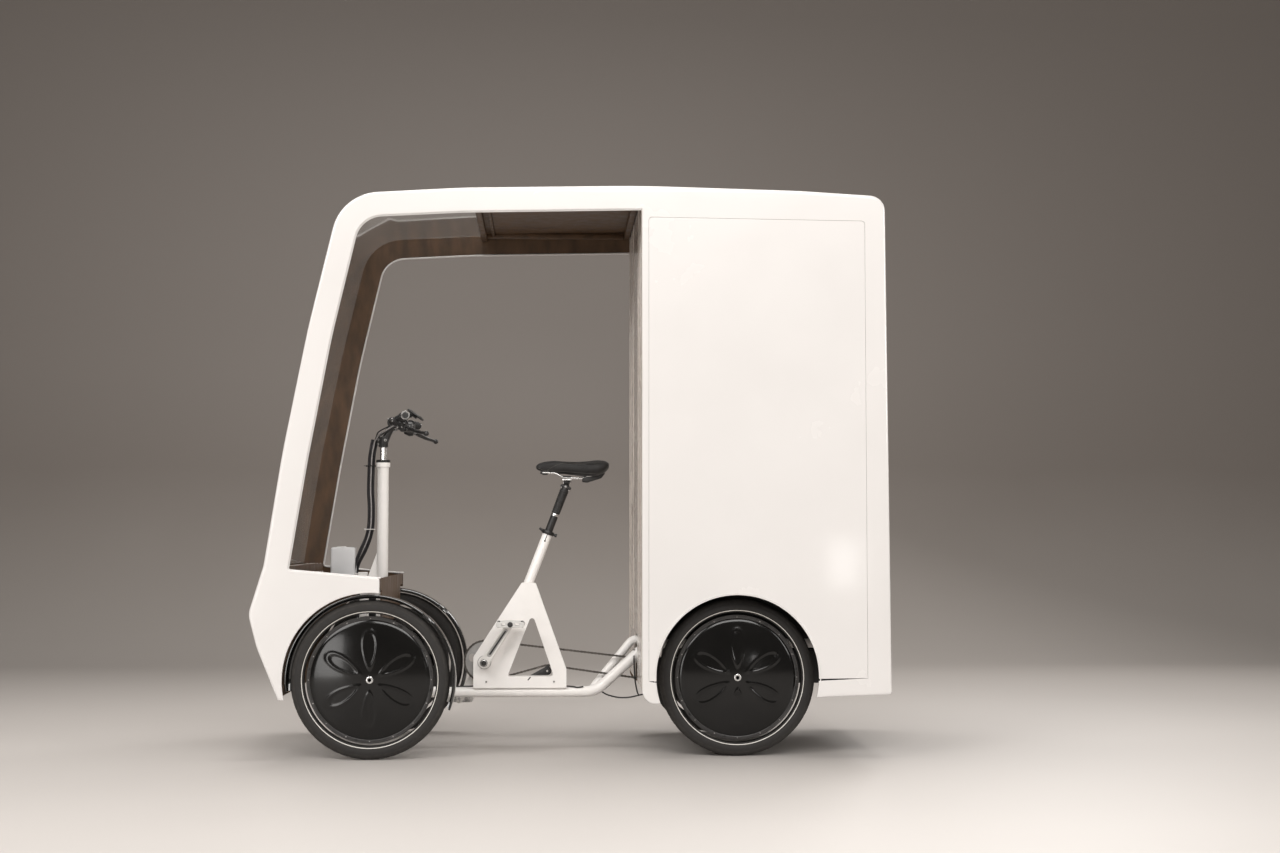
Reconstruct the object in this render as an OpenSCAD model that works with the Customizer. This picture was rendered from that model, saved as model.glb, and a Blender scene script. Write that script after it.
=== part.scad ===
// Roofed four-wheel cargo cycle with a rear cargo box and a seat on an A-shaped frame.
// Millimetres. X runs rearward, Y to the rider's right, Z up; the ground is Z = 0.
// The origin is on the ground, under the middle of the vehicle's length and width.

/* [Body] */
// Overall length, nose to tail
body_l = 2128; // [2100:1:2160]
// Overall width over the two side mouldings
body_w = 1000; // [980:2:1040]
// Thickness of the moulded side skins
skin_t = 5; // [3:1:6]
// Thickness of the nose and roof skins
shell_t = 4; // [3:1:5]
// Front face of the cargo box
box_front_x = 231; // [225:1:240]
// Height of the cargo floor's top face
cargo_floor_z = 398; // [396:1:404]
// Width of the rear posts that the cargo door closes between
post_w = 14; // [10:1:16]

/* [Wheels] */
// Tyre radius
wheel_r = 263; // [260:1:265]
// Tyre section radius
tyre_section_r = 27; // [24:1:28]
// Front axle position
front_x = -668; // [-672:1:-664]
// Rear axle position
rear_x = 555; // [552:1:558]
// Half track of the front wheels
front_wheel_y = 455; // [452:1:456]
// Half track of the rear wheels
rear_wheel_y = 395; // [385:1:400]
// Radius of the domed wheel covers
cover_r = 196; // [190:1:197]
// How far a cover's middle stands out from its edge
cover_dome = 17; // [10:1:20]
// Radius of the front wheel arches in the side skins
front_arch_r = 288; // [287:1:292]
// Radius of the rear wheel arches in the side skins
rear_arch_r = 271; // [268:1:276]

/* [Steering] */
// Distance of each kingpin from the centre line
kingpin_y = 385; // [383:1:386]
// Position of the steering column
column_x = -672; // [-674:1:-670]
// Height of the top of the column
column_top_z = 1000; // [980:5:1010]
// Length of the steering arms and the pitman arm
steer_arm_l = 75; // [70:1:78]
// Half width of the handlebar
bar_half_w = 310; // [290:5:330]
// Height of the grips
grip_z = 1150; // [1145:1:1160]

/* [Drive] */
// Bottom bracket position
crank_x = -307; // [-310:1:-305]
// Bottom bracket height
crank_z = 291; // [289:1:293]
// Crank length
crank_l = 168; // [160:1:172]
// Angle of the left crank above the rearward horizontal
crank_angle = 56; // [0:1:80]
// Teeth on the chainring
ring_teeth = 36; // [36:4:40]
// Teeth on the rear sprocket
sprocket_teeth = 18; // [16:2:20]
// Distance of the chain from the centre line
chain_y = 40; // [39:1:41]

/* [Seat] */
// Lean of the seat tube from vertical
seat_lean = 21; // [20:0.5:22]
// Radius of the seatpost's stanchion
post_r = 13.6; // [13.4:0.1:13.8]
// Highest point of the saddle
saddle_top_z = 1012; // [1008:1:1016]

/* [Hidden] */

$fn = 64;
run_fit = 0.06;       // radial clearance of a turning or sliding fit
half_w = body_w / 2;
half_l = body_l / 2;
pitch = 12.7;         // chain pitch
axle_r = 10;          // wheel spindles
kingpin_r = 9;
crank_axle_r = 12;
left = -1;
right = 1;

white_c = [0.93, 0.92, 0.90];
frame_c = [0.90, 0.88, 0.85];
black_c = [0.06, 0.06, 0.06];
tyre_c = [0.20, 0.19, 0.18];
silver_c = [0.72, 0.72, 0.72];
brown_c = [0.30, 0.21, 0.15];
grey_c = [0.72, 0.69, 0.66];
clear_c = [0.75, 0.78, 0.80, 0.35];

// Points of the arc that rounds corner b, between neighbours a and c
function unit(v) = v / norm(v);
function turn(a) = a - 360 * floor((a + 180) / 360);
function corner_arc(a, b, c, r, n) =
    let (u = unit(a - b), v = unit(c - b), half = acos(u * v) / 2,
         mid = b + unit(u + v) * r / sin(half), p = b + u * r / tan(half), q = b + v * r / tan(half),
         a0 = atan2(p[1] - mid[1], p[0] - mid[0]), a1 = atan2(q[1] - mid[1], q[0] - mid[0]))
    [for (i = [0 : n]) mid + r * [cos(a0 + turn(a1 - a0) * i / n), sin(a0 + turn(a1 - a0) * i / n)]];

// Closed outline from corners [x, y, radius]
function xy(p) = [p[0], p[1]];
function rounded(pts, n = 8) =
    let (m = len(pts))
    [for (i = [0 : m - 1])
        let (a = xy(pts[(i + m - 1) % m]), b = xy(pts[i]), c = xy(pts[(i + 1) % m]), r = pts[i][2])
        each (r > 0 ? corner_arc(a, b, c, r, r > 500 ? 6 : n) : [b])];

// The same corners moved inward by d; the corners run clockwise seen from -Y
function inward(a, b) = let (u = unit(b - a)) [u[1], -u[0]];
function inset_corner(a, b, c, d) =
    let (n1 = inward(a, b), n2 = inward(b, c)) b + d * (n1 + n2) / (1 + n1 * n2);
function inset(pts, d) =
    let (m = len(pts))
    [for (i = [0 : m - 1])
        let (p = inset_corner(xy(pts[(i + m - 1) % m]), xy(pts[i]), xy(pts[(i + 1) % m]), d))
        [p[0], p[1], max(pts[i][2] - d, 1)]];

// Side view outline of the whole body, clockwise from the nose's lower tip
nose_x = -half_l;
tail_x = half_l;
nose_r = 70;
nose_draw = 0.034 * nose_r;   // the rounding draws the nose's corner back by this much
body_corners = [
    [nose_x + 98, 198, 6],
    [nose_x + 26, 372, 300],
    [nose_x - nose_draw, 480, nose_r],
    [nose_x + 46, 640, 70],
    [nose_x + 104, 1015, 3000],
    [nose_x + 184, 1430, 3000],
    [nose_x + 289, 1878, 160],
    [nose_x + 691, 1902.5, 3000],
    [nose_x + 1288, 1914, 5000],
    [nose_x + 1823, 1901, 3000],
    [tail_x - 11, 1884, 52],
    [tail_x, 210, 10],
    [box_front_x, 180, 45]];

// Side view outline of one side moulding: nose fairing, pillar, roof rail and cargo side
side_corners = concat(
    [for (i = [0 : 11]) body_corners[i]],
    [[box_front_x, 180, 45],
     [box_front_x, 1835, 0],
     [-373, 1822, 2500],
     [-712, 1803, 95],
     [-805, 1400, 2500],
     [-880, 990, 2500],
     [-939, 625, 8],
     [-637, 598, 10],
     [-637, 300, 0],
     [-760, 198, 0]]);

// Recess for the bonded cargo panel
panel_top_z = 1808;
panel_front_x = box_front_x + 22;
panel_back_x = 984;
panel_low_z = 256;
panel_corners = [[panel_front_x, panel_low_z, 0], [panel_front_x, panel_top_z, 12],
    [panel_back_x, panel_top_z - 8, 12], [panel_back_x, panel_low_z + 8, 12]];

module plate_xz(points, y0, y1) {
    translate([0, max(y0, y1), 0]) rotate([90, 0, 0]) linear_extrude(abs(y1 - y0)) polygon(points);
}

module block(x0, x1, y0, y1, z0, z1) {
    translate([min(x0, x1), min(y0, y1), min(z0, z1)])
        cube([abs(x1 - x0), abs(y1 - y0), abs(z1 - z0)]);
}

// Cylinder between two points
module rod(a, b, r) {
    v = b - a;
    translate(a) rotate([0, acos(v[2] / norm(v)), atan2(v[1], v[0])]) cylinder(h = norm(v), r = r);
}

// Cylinder along Y at (x, z) between y0 and y1
module rod_y(x, z, y0, y1, r) {
    translate([x, max(y0, y1), z]) rotate([90, 0, 0]) cylinder(h = abs(y1 - y0), r = r);
}

// Tube through a list of points, with ball corners
module bent_rod(points, r) {
    for (i = [0 : len(points) - 2]) rod(points[i], points[i + 1], r);
    for (i = [1 : 1 : len(points) - 2]) translate(points[i]) sphere(r = r + max(0.3, 1.2 - r / 15));
}

// ---------------------------------------------------------------- chassis
beam_z = 185;
tube_r = 19;
rail_z = 365;
rail_y = 150;
fork_x = 88;          // where the main tube bends up
left_top_x = 288;
strut_y = 75;
strut_r = 15;

module main_frame() {
    color(frame_c) {
        bent_rod([[front_x + 17.5, 0, beam_z], [fork_x, 0, beam_z], [left_top_x, 0, rail_z],
            [1000, 0, rail_z]], tube_r);
        rod_y(fork_x - 12, beam_z, 0, strut_y, strut_r);
        bent_rod([[fork_x - 12, strut_y, beam_z], [fork_x - 12 + 146, strut_y, rail_z],
            [left_top_x + 30, strut_y, rail_z]], strut_r);
        translate([fork_x - 12, strut_y, beam_z]) sphere(r = strut_r + 0.3);
        for (s = [left, right]) rod([left_top_x + 20, s * rail_y, rail_z], [1000, s * rail_y, rail_z], tube_r);
        for (x = [left_top_x + 20, 640, 996]) rod_y(x, rail_z, -rail_y - tube_r, rail_y + tube_r, tube_r - 3);
    }
}

// Axle beam with its two kingpin yokes
yoke_low_z = 200;
yoke_high_z = 330;
yoke_t = 8;
module front_axle() {
    color(black_c) for (s = [left, right]) {
        rod_y(front_x, beam_z, 0, s * 345, 17);
        block(front_x - 16, front_x + 16, s * 335, s * 347, beam_z - 10, yoke_high_z);
        for (z = [yoke_low_z, yoke_high_z]) {
            block(front_x - 16, front_x + 16, s * 340, s * kingpin_y, z - yoke_t, z);
            translate([front_x, s * kingpin_y, z - yoke_t]) cylinder(h = yoke_t, r = 16);
        }
        translate([front_x, s * kingpin_y, yoke_low_z - 12])
            cylinder(h = yoke_high_z - yoke_low_z + 20, r = kingpin_r);
    }
}

// Steering column: tube, front post, gusset and lower stay
module head_column() {
    color(frame_c) difference() {
        union() {
            translate([column_x, 0, 345]) cylinder(h = column_top_z - 345, r = 20);
            translate([column_x, 0, column_top_z - 16]) cylinder(h = 16, r = 24.5);
            plate_xz([[column_x - 16, 352], [column_x - 16, 690], [column_x - 58, 575],
                [column_x - 58, 352]], -3, 3);
            block(column_x - 84, column_x - 52, -20, 20, 215, 610);
            block(column_x - 84, front_x + 20, -20, 20, 204, 222);
        }
        translate([column_x, 0, 300]) cylinder(h = column_top_z, r = 14);
        translate([column_x, 0, 230]) cylinder(h = 116, r = 24);
    }
}

// Rear axle tube, spindles, hangers and the drive casing
drive_x = 350;
drive_z = 250;
module rear_axle() {
    color(black_c) {
        rod_y(rear_x, wheel_r, -335, 335, 24);
        for (s = [left, right]) {
            rod_y(rear_x, wheel_r, s * 330, s * (rear_wheel_y + 34), axle_r);
            rod_y(rear_x, wheel_r, s * 322, s * 336, 34);
            block(rear_x - 30, rear_x + 30, s * (rail_y - 5), s * (rail_y + 5), wheel_r - 10, rail_z - tube_r);
        }
        block(drive_x - 46, rear_x + 12, -64, 12, wheel_r - 48, wheel_r + 44);
        rod_y(drive_x, drive_z, 10, 24, 26);
        rod_y(drive_x, drive_z, 20, chain_y + 14, 8);
        block(drive_x + 40, drive_x + 80, -18, 10, wheel_r + 40, rail_z - tube_r);
    }
}

// Seat frame: two cheeks with edge plates, bottom bracket and seat tube
cheek_y = 28;
seat_corners = [[-346, 200, 3], [-346, 310, 12], [-176, 572, 8], [-126, 572, 8], [-16, 266, 12],
    [-16, 200, 3]];
window_corners = [[-230, 238, 9], [-138, 474, 13], [-56, 238, 13]];
seat_dir = [sin(seat_lean), 0, cos(seat_lean)];
seat_tube_low = [-171, 0, 520];
seat_tube_l = 252;
seat_tube_top = seat_tube_low + seat_tube_l * seat_dir;

module along_seat(start, length, r) {
    rod(seat_tube_low + start * seat_dir, seat_tube_low + (start + length) * seat_dir, r);
}

module seat_frame() {
    color(frame_c) difference() {
        union() {
            difference() {
                plate_xz(rounded(seat_corners), -cheek_y, cheek_y);
                plate_xz(rounded(inset(seat_corners, 4)), -cheek_y + 4, cheek_y - 4);
            }
            plate_xz(rounded(window_corners), -cheek_y, cheek_y);
            rod_y(crank_x, crank_z, -cheek_y - 6, cheek_y + 4, 22);
            along_seat(0, seat_tube_l, 17.5);
        }
        plate_xz(rounded(inset(window_corners, 3)), -cheek_y - 5, cheek_y + 5);
        rod_y(crank_x, crank_z, -60, 60, crank_axle_r + run_fit);
        along_seat(-60, seat_tube_l + 80, post_r + run_fit);
        rod([front_x, 0, beam_z], [fork_x, 0, beam_z], tube_r);
    }
}

// ---------------------------------------------------------------- body
module arches(y0, y1) {
    rod_y(front_x, wheel_r, y0, y1, front_arch_r);
    rod_y(rear_x - 6, wheel_r + 7, y0, y1, rear_arch_r);
}

door_face_x = tail_x - 20;
post_back_x = door_face_x + 2;
door_low_z = 330;
door_high_z = 1798;

module body_side(s) {
    color(white_c) {
        difference() {
            plate_xz(rounded(side_corners), s * (half_w - skin_t), s * half_w);
            arches(s * (half_w - 20), s * (half_w + 20));
            plate_xz(rounded(panel_corners), s * (half_w - 20), s * (half_w + 20));
        }
        difference() {
            block(post_back_x - 28, post_back_x, s * (half_w - skin_t - post_w), s * (half_w - 2),
                door_low_z - 6, door_high_z + 6);
            translate([hinge_x, hinge_y, door_low_z]) cylinder(h = door_high_z - door_low_z, r = 7.2);
        }
    }
}

// Skin that follows the body's outline across its width
module body_wrap(t) {
    difference() {
        plate_xz(rounded(body_corners), -half_w + skin_t + 0.5, half_w - skin_t - 0.5);
        plate_xz(rounded(inset(body_corners, t)), -half_w, half_w);
    }
}

lamp_y = 300;
lamp_z = 452;
lamp_r = 46;
cowl_z = 640;

module nose_fascia() {
    color(white_c) difference() {
        intersection() {
            body_wrap(shell_t);
            block(-1200, nose_x + 150, -half_w, half_w, 203, cowl_z);
        }
        for (s = [left, right])
            rod([nose_x - 20, s * lamp_y, lamp_z], [nose_x + 40, s * lamp_y, lamp_z], lamp_r + 1);
    }
}

screen_end_x = -344;
module roof_bar(x, w, z0, z1) {
    block(x, x + w, -half_w + skin_t + 1, half_w - skin_t - 1, z0, z1);
}

module windscreen() {
    color(clear_c) intersection() {
        body_wrap(shell_t);
        block(-1200, screen_end_x, -half_w, half_w, cowl_z + 1, 2000);
    }
}

module roof_panel() {
    color(white_c) {
        intersection() {
            body_wrap(shell_t);
            block(screen_end_x + 1, 1200, -half_w, half_w, door_high_z + 6, 2000);
        }
        roof_bar(screen_end_x + 1, 22, 1877, 1901);
        roof_bar(screen_end_x + 42, 12, 1890, 1903);
        roof_bar(box_front_x - 24, 22, 1888, 1911);
    }
}

// Shelf behind the screen's foot, the tray in front of the column and the upright panel behind it
module dash_tray() {
    color(brown_c) {
        block(nose_x + 58, -941, -half_w + skin_t + 1, half_w - skin_t - 1, 631, 635);
        block(-945, -941, -half_w + skin_t + 1, half_w - skin_t - 1, 567, 633);
        difference() {
            block(-945, column_x - 88, -half_w + skin_t + 1, half_w - skin_t - 1, 566, 570);
            for (s = [left, right])
                block(-960, -600, s * 60, s * (half_w - 60), 560, 580);
        }
        for (s = [left, right]) block(-790, -641, s * 52, s * 58, 558, 570);
        block(-643, -639, -395, 395, 440, 597);
        block(-643, -639, -half_w + skin_t + 1, half_w - skin_t - 1, 556, 597);
    }
}

// Translucent fluid reservoir with its neck
module reservoir() {
    color(clear_c) {
        difference() {
            block(-850, column_x - 92, -60, 20, 570.5, 700);
            block(-847, column_x - 95, -57, 17, 573.5, 697);
        }
        translate([-815, -20, 699]) cylinder(h = 3, r = 16);
    }
}

module cargo_panels() {
    color(white_c) for (s = [left, right]) difference() {
        plate_xz(rounded([for (p = panel_corners)
            [p[0] + (p[0] > 900 ? -1 : 0), p[1] + (p[1] > 900 ? -1 : 1), p[2]]]),
            s * (half_w - 5), s * (half_w - 1.5));
        arches(s * (half_w - 20), s * (half_w + 20));
    }
}

module cargo_bulkhead() {
    color(grey_c) {
        block(box_front_x + 1, box_front_x + 6, -half_w + skin_t + 1, half_w - skin_t - 1,
            cargo_floor_z - 8, 1906);
        for (s = [left, right])
            block(box_front_x + 1, box_front_x + 6, s * 100, s * (half_w - skin_t - 1), 226, cargo_floor_z - 7);
    }
}

liner_r = 286;
liner_y = 336;
tie_down_x = 650;     // middle of the four tie-down holes
tie_down_dx = 500;
tie_down_dy = 560;
tie_down_r = 4.3;
module cargo_floor() {
    color(grey_c) difference() {
        union() {
            block(box_front_x + 7, tail_x - 46, -half_w + skin_t + 1, half_w - skin_t - 1,
                cargo_floor_z - 10, cargo_floor_z);
            block(tail_x - 50, tail_x - 46, -half_w + skin_t + 1, half_w - skin_t - 1, 214, cargo_floor_z);
            block(tail_x - 50, tail_x - 8, -half_w + skin_t + 1, half_w - skin_t - 1, door_low_z - 12,
                door_low_z - 8);
            block(tail_x - 12, tail_x - 8, -half_w + skin_t + 1, half_w - skin_t - 1, 214, door_low_z - 8);
        }
        for (s = [left, right])
            block(rear_x - liner_r, rear_x + liner_r, s * liner_y, s * half_w, cargo_floor_z - 20,
                cargo_floor_z + 10);
        for (s = [left, right]) {
            rod([tail_x - 30, s * 400, 268], [tail_x + 10, s * 400, 268], 36);
            for (x = [left, right])
                translate([tie_down_x + x * tie_down_dx / 2, s * tie_down_dy / 2, cargo_floor_z - 20])
                    cylinder(h = 40, r = tie_down_r);
        }
    }
}

module wheel_liners() {
    color(black_c) for (s = [left, right]) difference() {
        rod_y(rear_x, wheel_r, s * liner_y, s * (half_w - skin_t - 2), liner_r);
        rod_y(rear_x, wheel_r, s * (liner_y + 3), s * half_w, liner_r - 3);
        block(0, 1200, -half_w, half_w, -100, cargo_floor_z - 10);
    }
}

module headlights() {
    color(clear_c) for (s = [left, right]) {
        rod([nose_x + 2, s * lamp_y, lamp_z], [nose_x + 50, s * lamp_y, lamp_z], lamp_r);
        rod([nose_x + 45, s * lamp_y, lamp_z], [nose_x + 62, s * lamp_y, lamp_z], 30);
    }
}

module tail_lights() {
    color([0.6, 0.05, 0.05]) for (s = [left, right])
        rod([tail_x - 30, s * 400, 268], [tail_x - 1, s * 400, 268], 35);
}

module battery() {
    color(black_c) {
        block(664, 976, -128, 128, 222, 338);
        for (x = [690, 920]) block(x, x + 30, -rail_y, rail_y, 337, rail_z - tube_r);
    }
}

// ---------------------------------------------------------------- cargo door
hinge_x = door_face_x + 3;
hinge_y = 480;
hinge_zs = [480, 1060, 1640];
hinge_pin_r = 3.5;
knuckle_h = 40;
module cargo_door() {
    color(white_c) {
        difference() {
            block(door_face_x - 24, door_face_x, -478, 471, door_low_z, door_high_z);
            block(door_face_x - 30, door_face_x - 4, -462, 455, door_low_z + 16, 1040);
            block(door_face_x - 30, door_face_x - 4, -462, 455, 1064, door_high_z - 16);
            rod([door_face_x - 30, -430, 1052], [door_face_x + 10, -430, 1052], 6 + run_fit);
        }
        for (z = hinge_zs) difference() {
            union() {
                translate([hinge_x, hinge_y, z]) cylinder(h = knuckle_h, r = 6.5);
                block(door_face_x, door_face_x + 3, 430, hinge_y - 5, z, z + knuckle_h);
            }
            translate([hinge_x, hinge_y, z - 1]) cylinder(h = knuckle_h + 2, r = hinge_pin_r + run_fit);
        }
    }
}

module door_hinges() {
    color(silver_c) for (z = hinge_zs) {
        translate([hinge_x, hinge_y, z - 24]) cylinder(h = knuckle_h + 48, r = hinge_pin_r);
        for (z0 = [z - 24, z + knuckle_h + 0.5]) {
            translate([hinge_x, hinge_y, z0]) cylinder(h = 23.5, r = 6.5);
            block(post_back_x, post_back_x + 3, hinge_y, half_w - skin_t - 1, z0, z0 + 23.5);
        }
    }
}

module door_handle() {
    color(black_c) {
        rod([door_face_x - 31, -430, 1052], [door_face_x + 10, -430, 1052], 6);
        rod([door_face_x + 1, -430, 1052], [door_face_x + 7, -430, 1052], 20);
        block(door_face_x + 7, door_face_x + 16, -442, -418, 940, 1064);
        block(door_face_x - 31, door_face_x - 26, -458, -422, 1044, 1060);
    }
}

// ---------------------------------------------------------------- steering
pitman_z = 340;
tie_z = 322;
stem_z = 1062;
bar_x = -638;
bar_z = 1143;
grip_x = -571;
grip_in = [-592, 186, 1149];
function side_point(p, s) = [p[0], p[1] * s, p[2]];
function bar_end(s) = [grip_x, s * bar_half_w, grip_z];

module steerer() {
    color(silver_c) {
        translate([column_x, 0, 330]) cylinder(h = 740, r = 11);
        for (z = [352, column_top_z - 24]) translate([column_x, 0, z]) cylinder(h = 24, r = 14 - run_fit);
        translate([column_x, 0, pitman_z - 10]) cylinder(h = 14, r = 17);
        block(column_x, column_x + steer_arm_l, -9, 9, pitman_z - 4, pitman_z + 4);
        translate([column_x + steer_arm_l, 0, pitman_z - 4]) cylinder(h = 8, r = 12);
        translate([column_x + steer_arm_l, 0, tie_z - 9]) cylinder(h = pitman_z - tie_z + 9, r = 5);
    }
}

// Adjustable stem: clamp on the steerer, arm and bar clamp
module stem() {
    color(black_c) difference() {
        union() {
            translate([column_x, 0, column_top_z + 1]) cylinder(h = 9, r = 25);
            translate([column_x, 0, stem_z - 6]) cylinder(h = 36, r = 17);
            rod([column_x + 4, 0, stem_z + 16], [bar_x, 0, bar_z], 13);
            rod_y(bar_x, bar_z, -24, 24, 19);
            block(column_x - 26, column_x - 8, -11, 11, stem_z, stem_z + 26);
        }
        translate([column_x, 0, 900]) cylinder(h = 170, r = 11);
        rod_y(bar_x, bar_z, -40, 40, 11);
    }
}

bar_slope_r = 10.2;   // the bar's sloping middle parts
module handlebar() {
    color(black_c) {
        rod_y(bar_x, bar_z, -62, 62, 11);
        for (s = [left, right]) let (a = [bar_x, s * 62, bar_z], b = side_point(grip_in, s), c = bar_end(s)) {
            rod(a + 6 * unit(a - b), b + 6 * unit(b - a), bar_slope_r);
            rod(b, c - [0, s * 3, 0], 11);
        }
    }
}

module grips() {
    color(black_c) for (s = [left, right]) difference() {
        union() {
            rod(side_point(grip_in, s) + [2, s * 12, 0], bar_end(s), 15);
            rod(side_point(grip_in, s) + [1, s * 8, 0], side_point(grip_in, s) + [3, s * 16, 0], 17);
        }
        rod(side_point(grip_in, s), bar_end(s) - [0, s * 3, 0], 11);
    }
}

display_c = [-557.5, 0, 1172];
module display() {
    color(black_c) {
        translate(display_c) rotate([0, 34.5, 0]) cube([62, 92, 10], center = true);
        rod([bar_x + 15.5, 0, bar_z + 15], display_c - [14, 0, -2], 6);
        rod([bar_x + 40, 0, bar_z - 6], [bar_x + 40, 0, bar_z + 24], 5);
        block(bar_x + 26, bar_x + 78, -24, 24, bar_z - 32, bar_z - 4);
    }
}

bracket_p = [-606, 150, 1144];
lever_pivot = [-572, 156, 1116];
lever_ball = [-502, 268, 1090];
lever_in = unit([-65, 0, 55]);
function lever_axis(s) = unit(cross(side_point(lever_ball - lever_pivot, s), lever_in));

module lever_brackets() {
    color(black_c) for (s = [left, right]) difference() {
        union() {
            rod(side_point(bracket_p, s) + [-3, s * -10, 0], side_point(bracket_p, s) + [3, s * 10, 0], 17);
            rod(side_point(bracket_p, s) + [8, 0, -14], side_point(lever_pivot, s) + [-12, -s * 6, 8], 10);
            rod(side_point(bracket_p, s) + [-14, s * -30, -10], side_point(lever_pivot, s) + [-14, -s * 4, 6], 9);
        }
        rod([bar_x, s * 62, bar_z], side_point(grip_in, s), bar_slope_r);
    }
}

module brake_lever(s) {
    p = side_point(lever_pivot, s);
    b = side_point(lever_ball, s);
    ax = lever_axis(s);
    color(black_c) {
        rod(p - ax * 6, p + ax * 6, 6.5);
        bent_rod([p, p + 0.45 * (b - p) - lever_in * 8, b], 4.5);
        translate(b) sphere(r = 9.5);
    }
}

// Cable and hose loom: from the handlebar down the front of the column into the axle beam
hose_r = 7;
hose_sides = 10;
upper_route = [[-648, 40, 1122], [-674, 36, 1098], [-699, 22, 1064], [-711, 8, 1028], [-713, 8, 990]];
lower_route = [[-713, 8, 989.5], [-713, 8, 880], [-713, 8, 780], [-722, 9, 738], [-742, 28, 690],
    [-752, 42, 640], [-752, 42, 560], [-752, 42, 400], [-750, 42, 290], [-722, 47, 236], [-676, 50, 212]];

// Smooth curve through a route, with n steps between neighbouring points
function spline(a, b, c, d, t) =
    0.5 * (2 * b + (c - a) * t + (2 * a - 5 * b + 4 * c - d) * t * t + (3 * b - a - 3 * c + d) * t * t * t);
function smooth(p, n) = let (m = len(p)) concat(
    [for (i = [0 : m - 2]) for (j = [0 : n - 1])
        spline(p[max(i - 1, 0)], p[i], p[i + 1], p[min(i + 2, m - 1)], j / n)], [p[m - 1]]);
function ring(c, t, r, k) =
    let (u = unit(cross(t, [0, 1, 0])), v = cross(t, u))
    [for (i = [0 : k - 1]) c + r * (u * cos(360 * i / k) + v * sin(360 * i / k))];

// Closed tube swept along a path of points
module swept_tube(path, r, k) {
    m = len(path);
    rings = [for (i = [0 : m - 1])
        each ring(path[i], unit(path[min(i + 1, m - 1)] - path[max(i - 1, 0)]), r, k)];
    sides = [for (i = [0 : m - 2]) for (j = [0 : k - 1])
        let (a = i * k + j, b = i * k + (j + 1) % k) each [[a, b, b + k], [a, b + k, a + k]]];
    low_cap = [for (j = [1 : k - 2]) [0, j + 1, j]];
    top_cap = let (e = (m - 1) * k) [for (j = [1 : k - 2]) [e, e + j, e + j + 1]];
    polyhedron(concat(rings), concat(sides, low_cap, top_cap));
}

module hose_pair(route, steps) {
    for (s = [left, right])
        swept_tube(smooth([for (p = route) side_point(p, s)], steps), hose_r, hose_sides);
}

module hoses_upper() {
    color(black_c) hose_pair(upper_route, 3);
}

module hoses_lower() {
    color(black_c) hose_pair(lower_route, 3);
}

module knuckle(s) {
    color(black_c) {
        difference() {
            union() {
                translate([front_x, s * kingpin_y, yoke_low_z + 0.5])
                    cylinder(h = yoke_high_z - yoke_t - yoke_low_z - 1, r = 17);
                rod_y(front_x, wheel_r, s * kingpin_y, s * 418, 20);
                block(front_x + 10, front_x + steer_arm_l, s * (kingpin_y - 8), s * (kingpin_y + 8), tie_z - 22,
                    tie_z - 14);
                translate([front_x + steer_arm_l, s * kingpin_y, tie_z - 22]) cylinder(h = 8, r = 12);
                block(front_x - 12, front_x + 12, s * 404, s * 409, wheel_r, wheel_r + guard_r - 7);
                block(front_x - 12, front_x + 12, s * 404, s * (guard_y0 - 0.1), wheel_r + guard_r - 17,
                    wheel_r + guard_r - 7);
            }
            translate([front_x, s * kingpin_y, 150]) cylinder(h = 200, r = kingpin_r + run_fit);
        }
        rod_y(front_x, wheel_r, s * 410, s * (front_wheel_y + 34), axle_r);
        translate([front_x + steer_arm_l, s * kingpin_y, tie_z - 15]) cylinder(h = 22, r = 5);
    }
}

module tie_rod() {
    color(silver_c) difference() {
        union() {
            rod_y(front_x + steer_arm_l, tie_z, -kingpin_y, kingpin_y, 6);
            for (s = [left, right])
                translate([front_x + steer_arm_l, s * kingpin_y, tie_z - 7]) cylinder(h = 14, r = 12);
            translate([column_x + steer_arm_l, 0, tie_z - 7]) cylinder(h = 14, r = 13);
        }
        translate([front_x + steer_arm_l, -kingpin_y, tie_z - 20]) cylinder(h = 40, r = 5 + run_fit);
        translate([front_x + steer_arm_l, kingpin_y, tie_z - 20]) cylinder(h = 40, r = 5.5);
        translate([column_x + steer_arm_l, 0, tie_z - 40]) cylinder(h = 60, r = 5.5);
    }
}

// Curved guard over the wheel, from in front of the axle round to behind it
guard_r = 283;
guard_y0 = 422;
guard_y1 = 489;
module pie(x, z, r, a0, a1, y0, y1) {
    plate_xz(concat([[x, z]], [for (i = [0 : 12]) let (a = a0 + (a1 - a0) * i / 12)
        [x + r * cos(a), z + r * sin(a)]]), y0, y1);
}

module mudguard(s) {
    color(black_c) intersection() {
        difference() {
            rod_y(front_x, wheel_r, s * guard_y0, s * guard_y1, guard_r);
            rod_y(front_x, wheel_r, s * (guard_y0 + 3), s * (guard_y1 + 5), guard_r - 4);
            rod_y(front_x, wheel_r, s * (guard_y0 - 5), s * (guard_y0 + 8), guard_r - 14);
        }
        pie(front_x, wheel_r, 320, -21, 188, s * 400, s * 495);
    }
}

// ---------------------------------------------------------------- wheels
module wheel_place(x, y, s) {
    translate([x, s * y, wheel_r]) rotate([s * -90, 0, 0]) children();
}

rim_r = 206;
module tyre() {
    color(tyre_c) rotate_extrude($fn = 96) difference() {
        translate([wheel_r - tyre_section_r, 0]) circle(r = tyre_section_r, $fn = 48);
        translate([wheel_r - tyre_section_r, 0]) circle(r = tyre_section_r - 5, $fn = 48);
        translate([0, -40]) square([rim_r + 2.5, 80]);
    }
}

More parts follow.
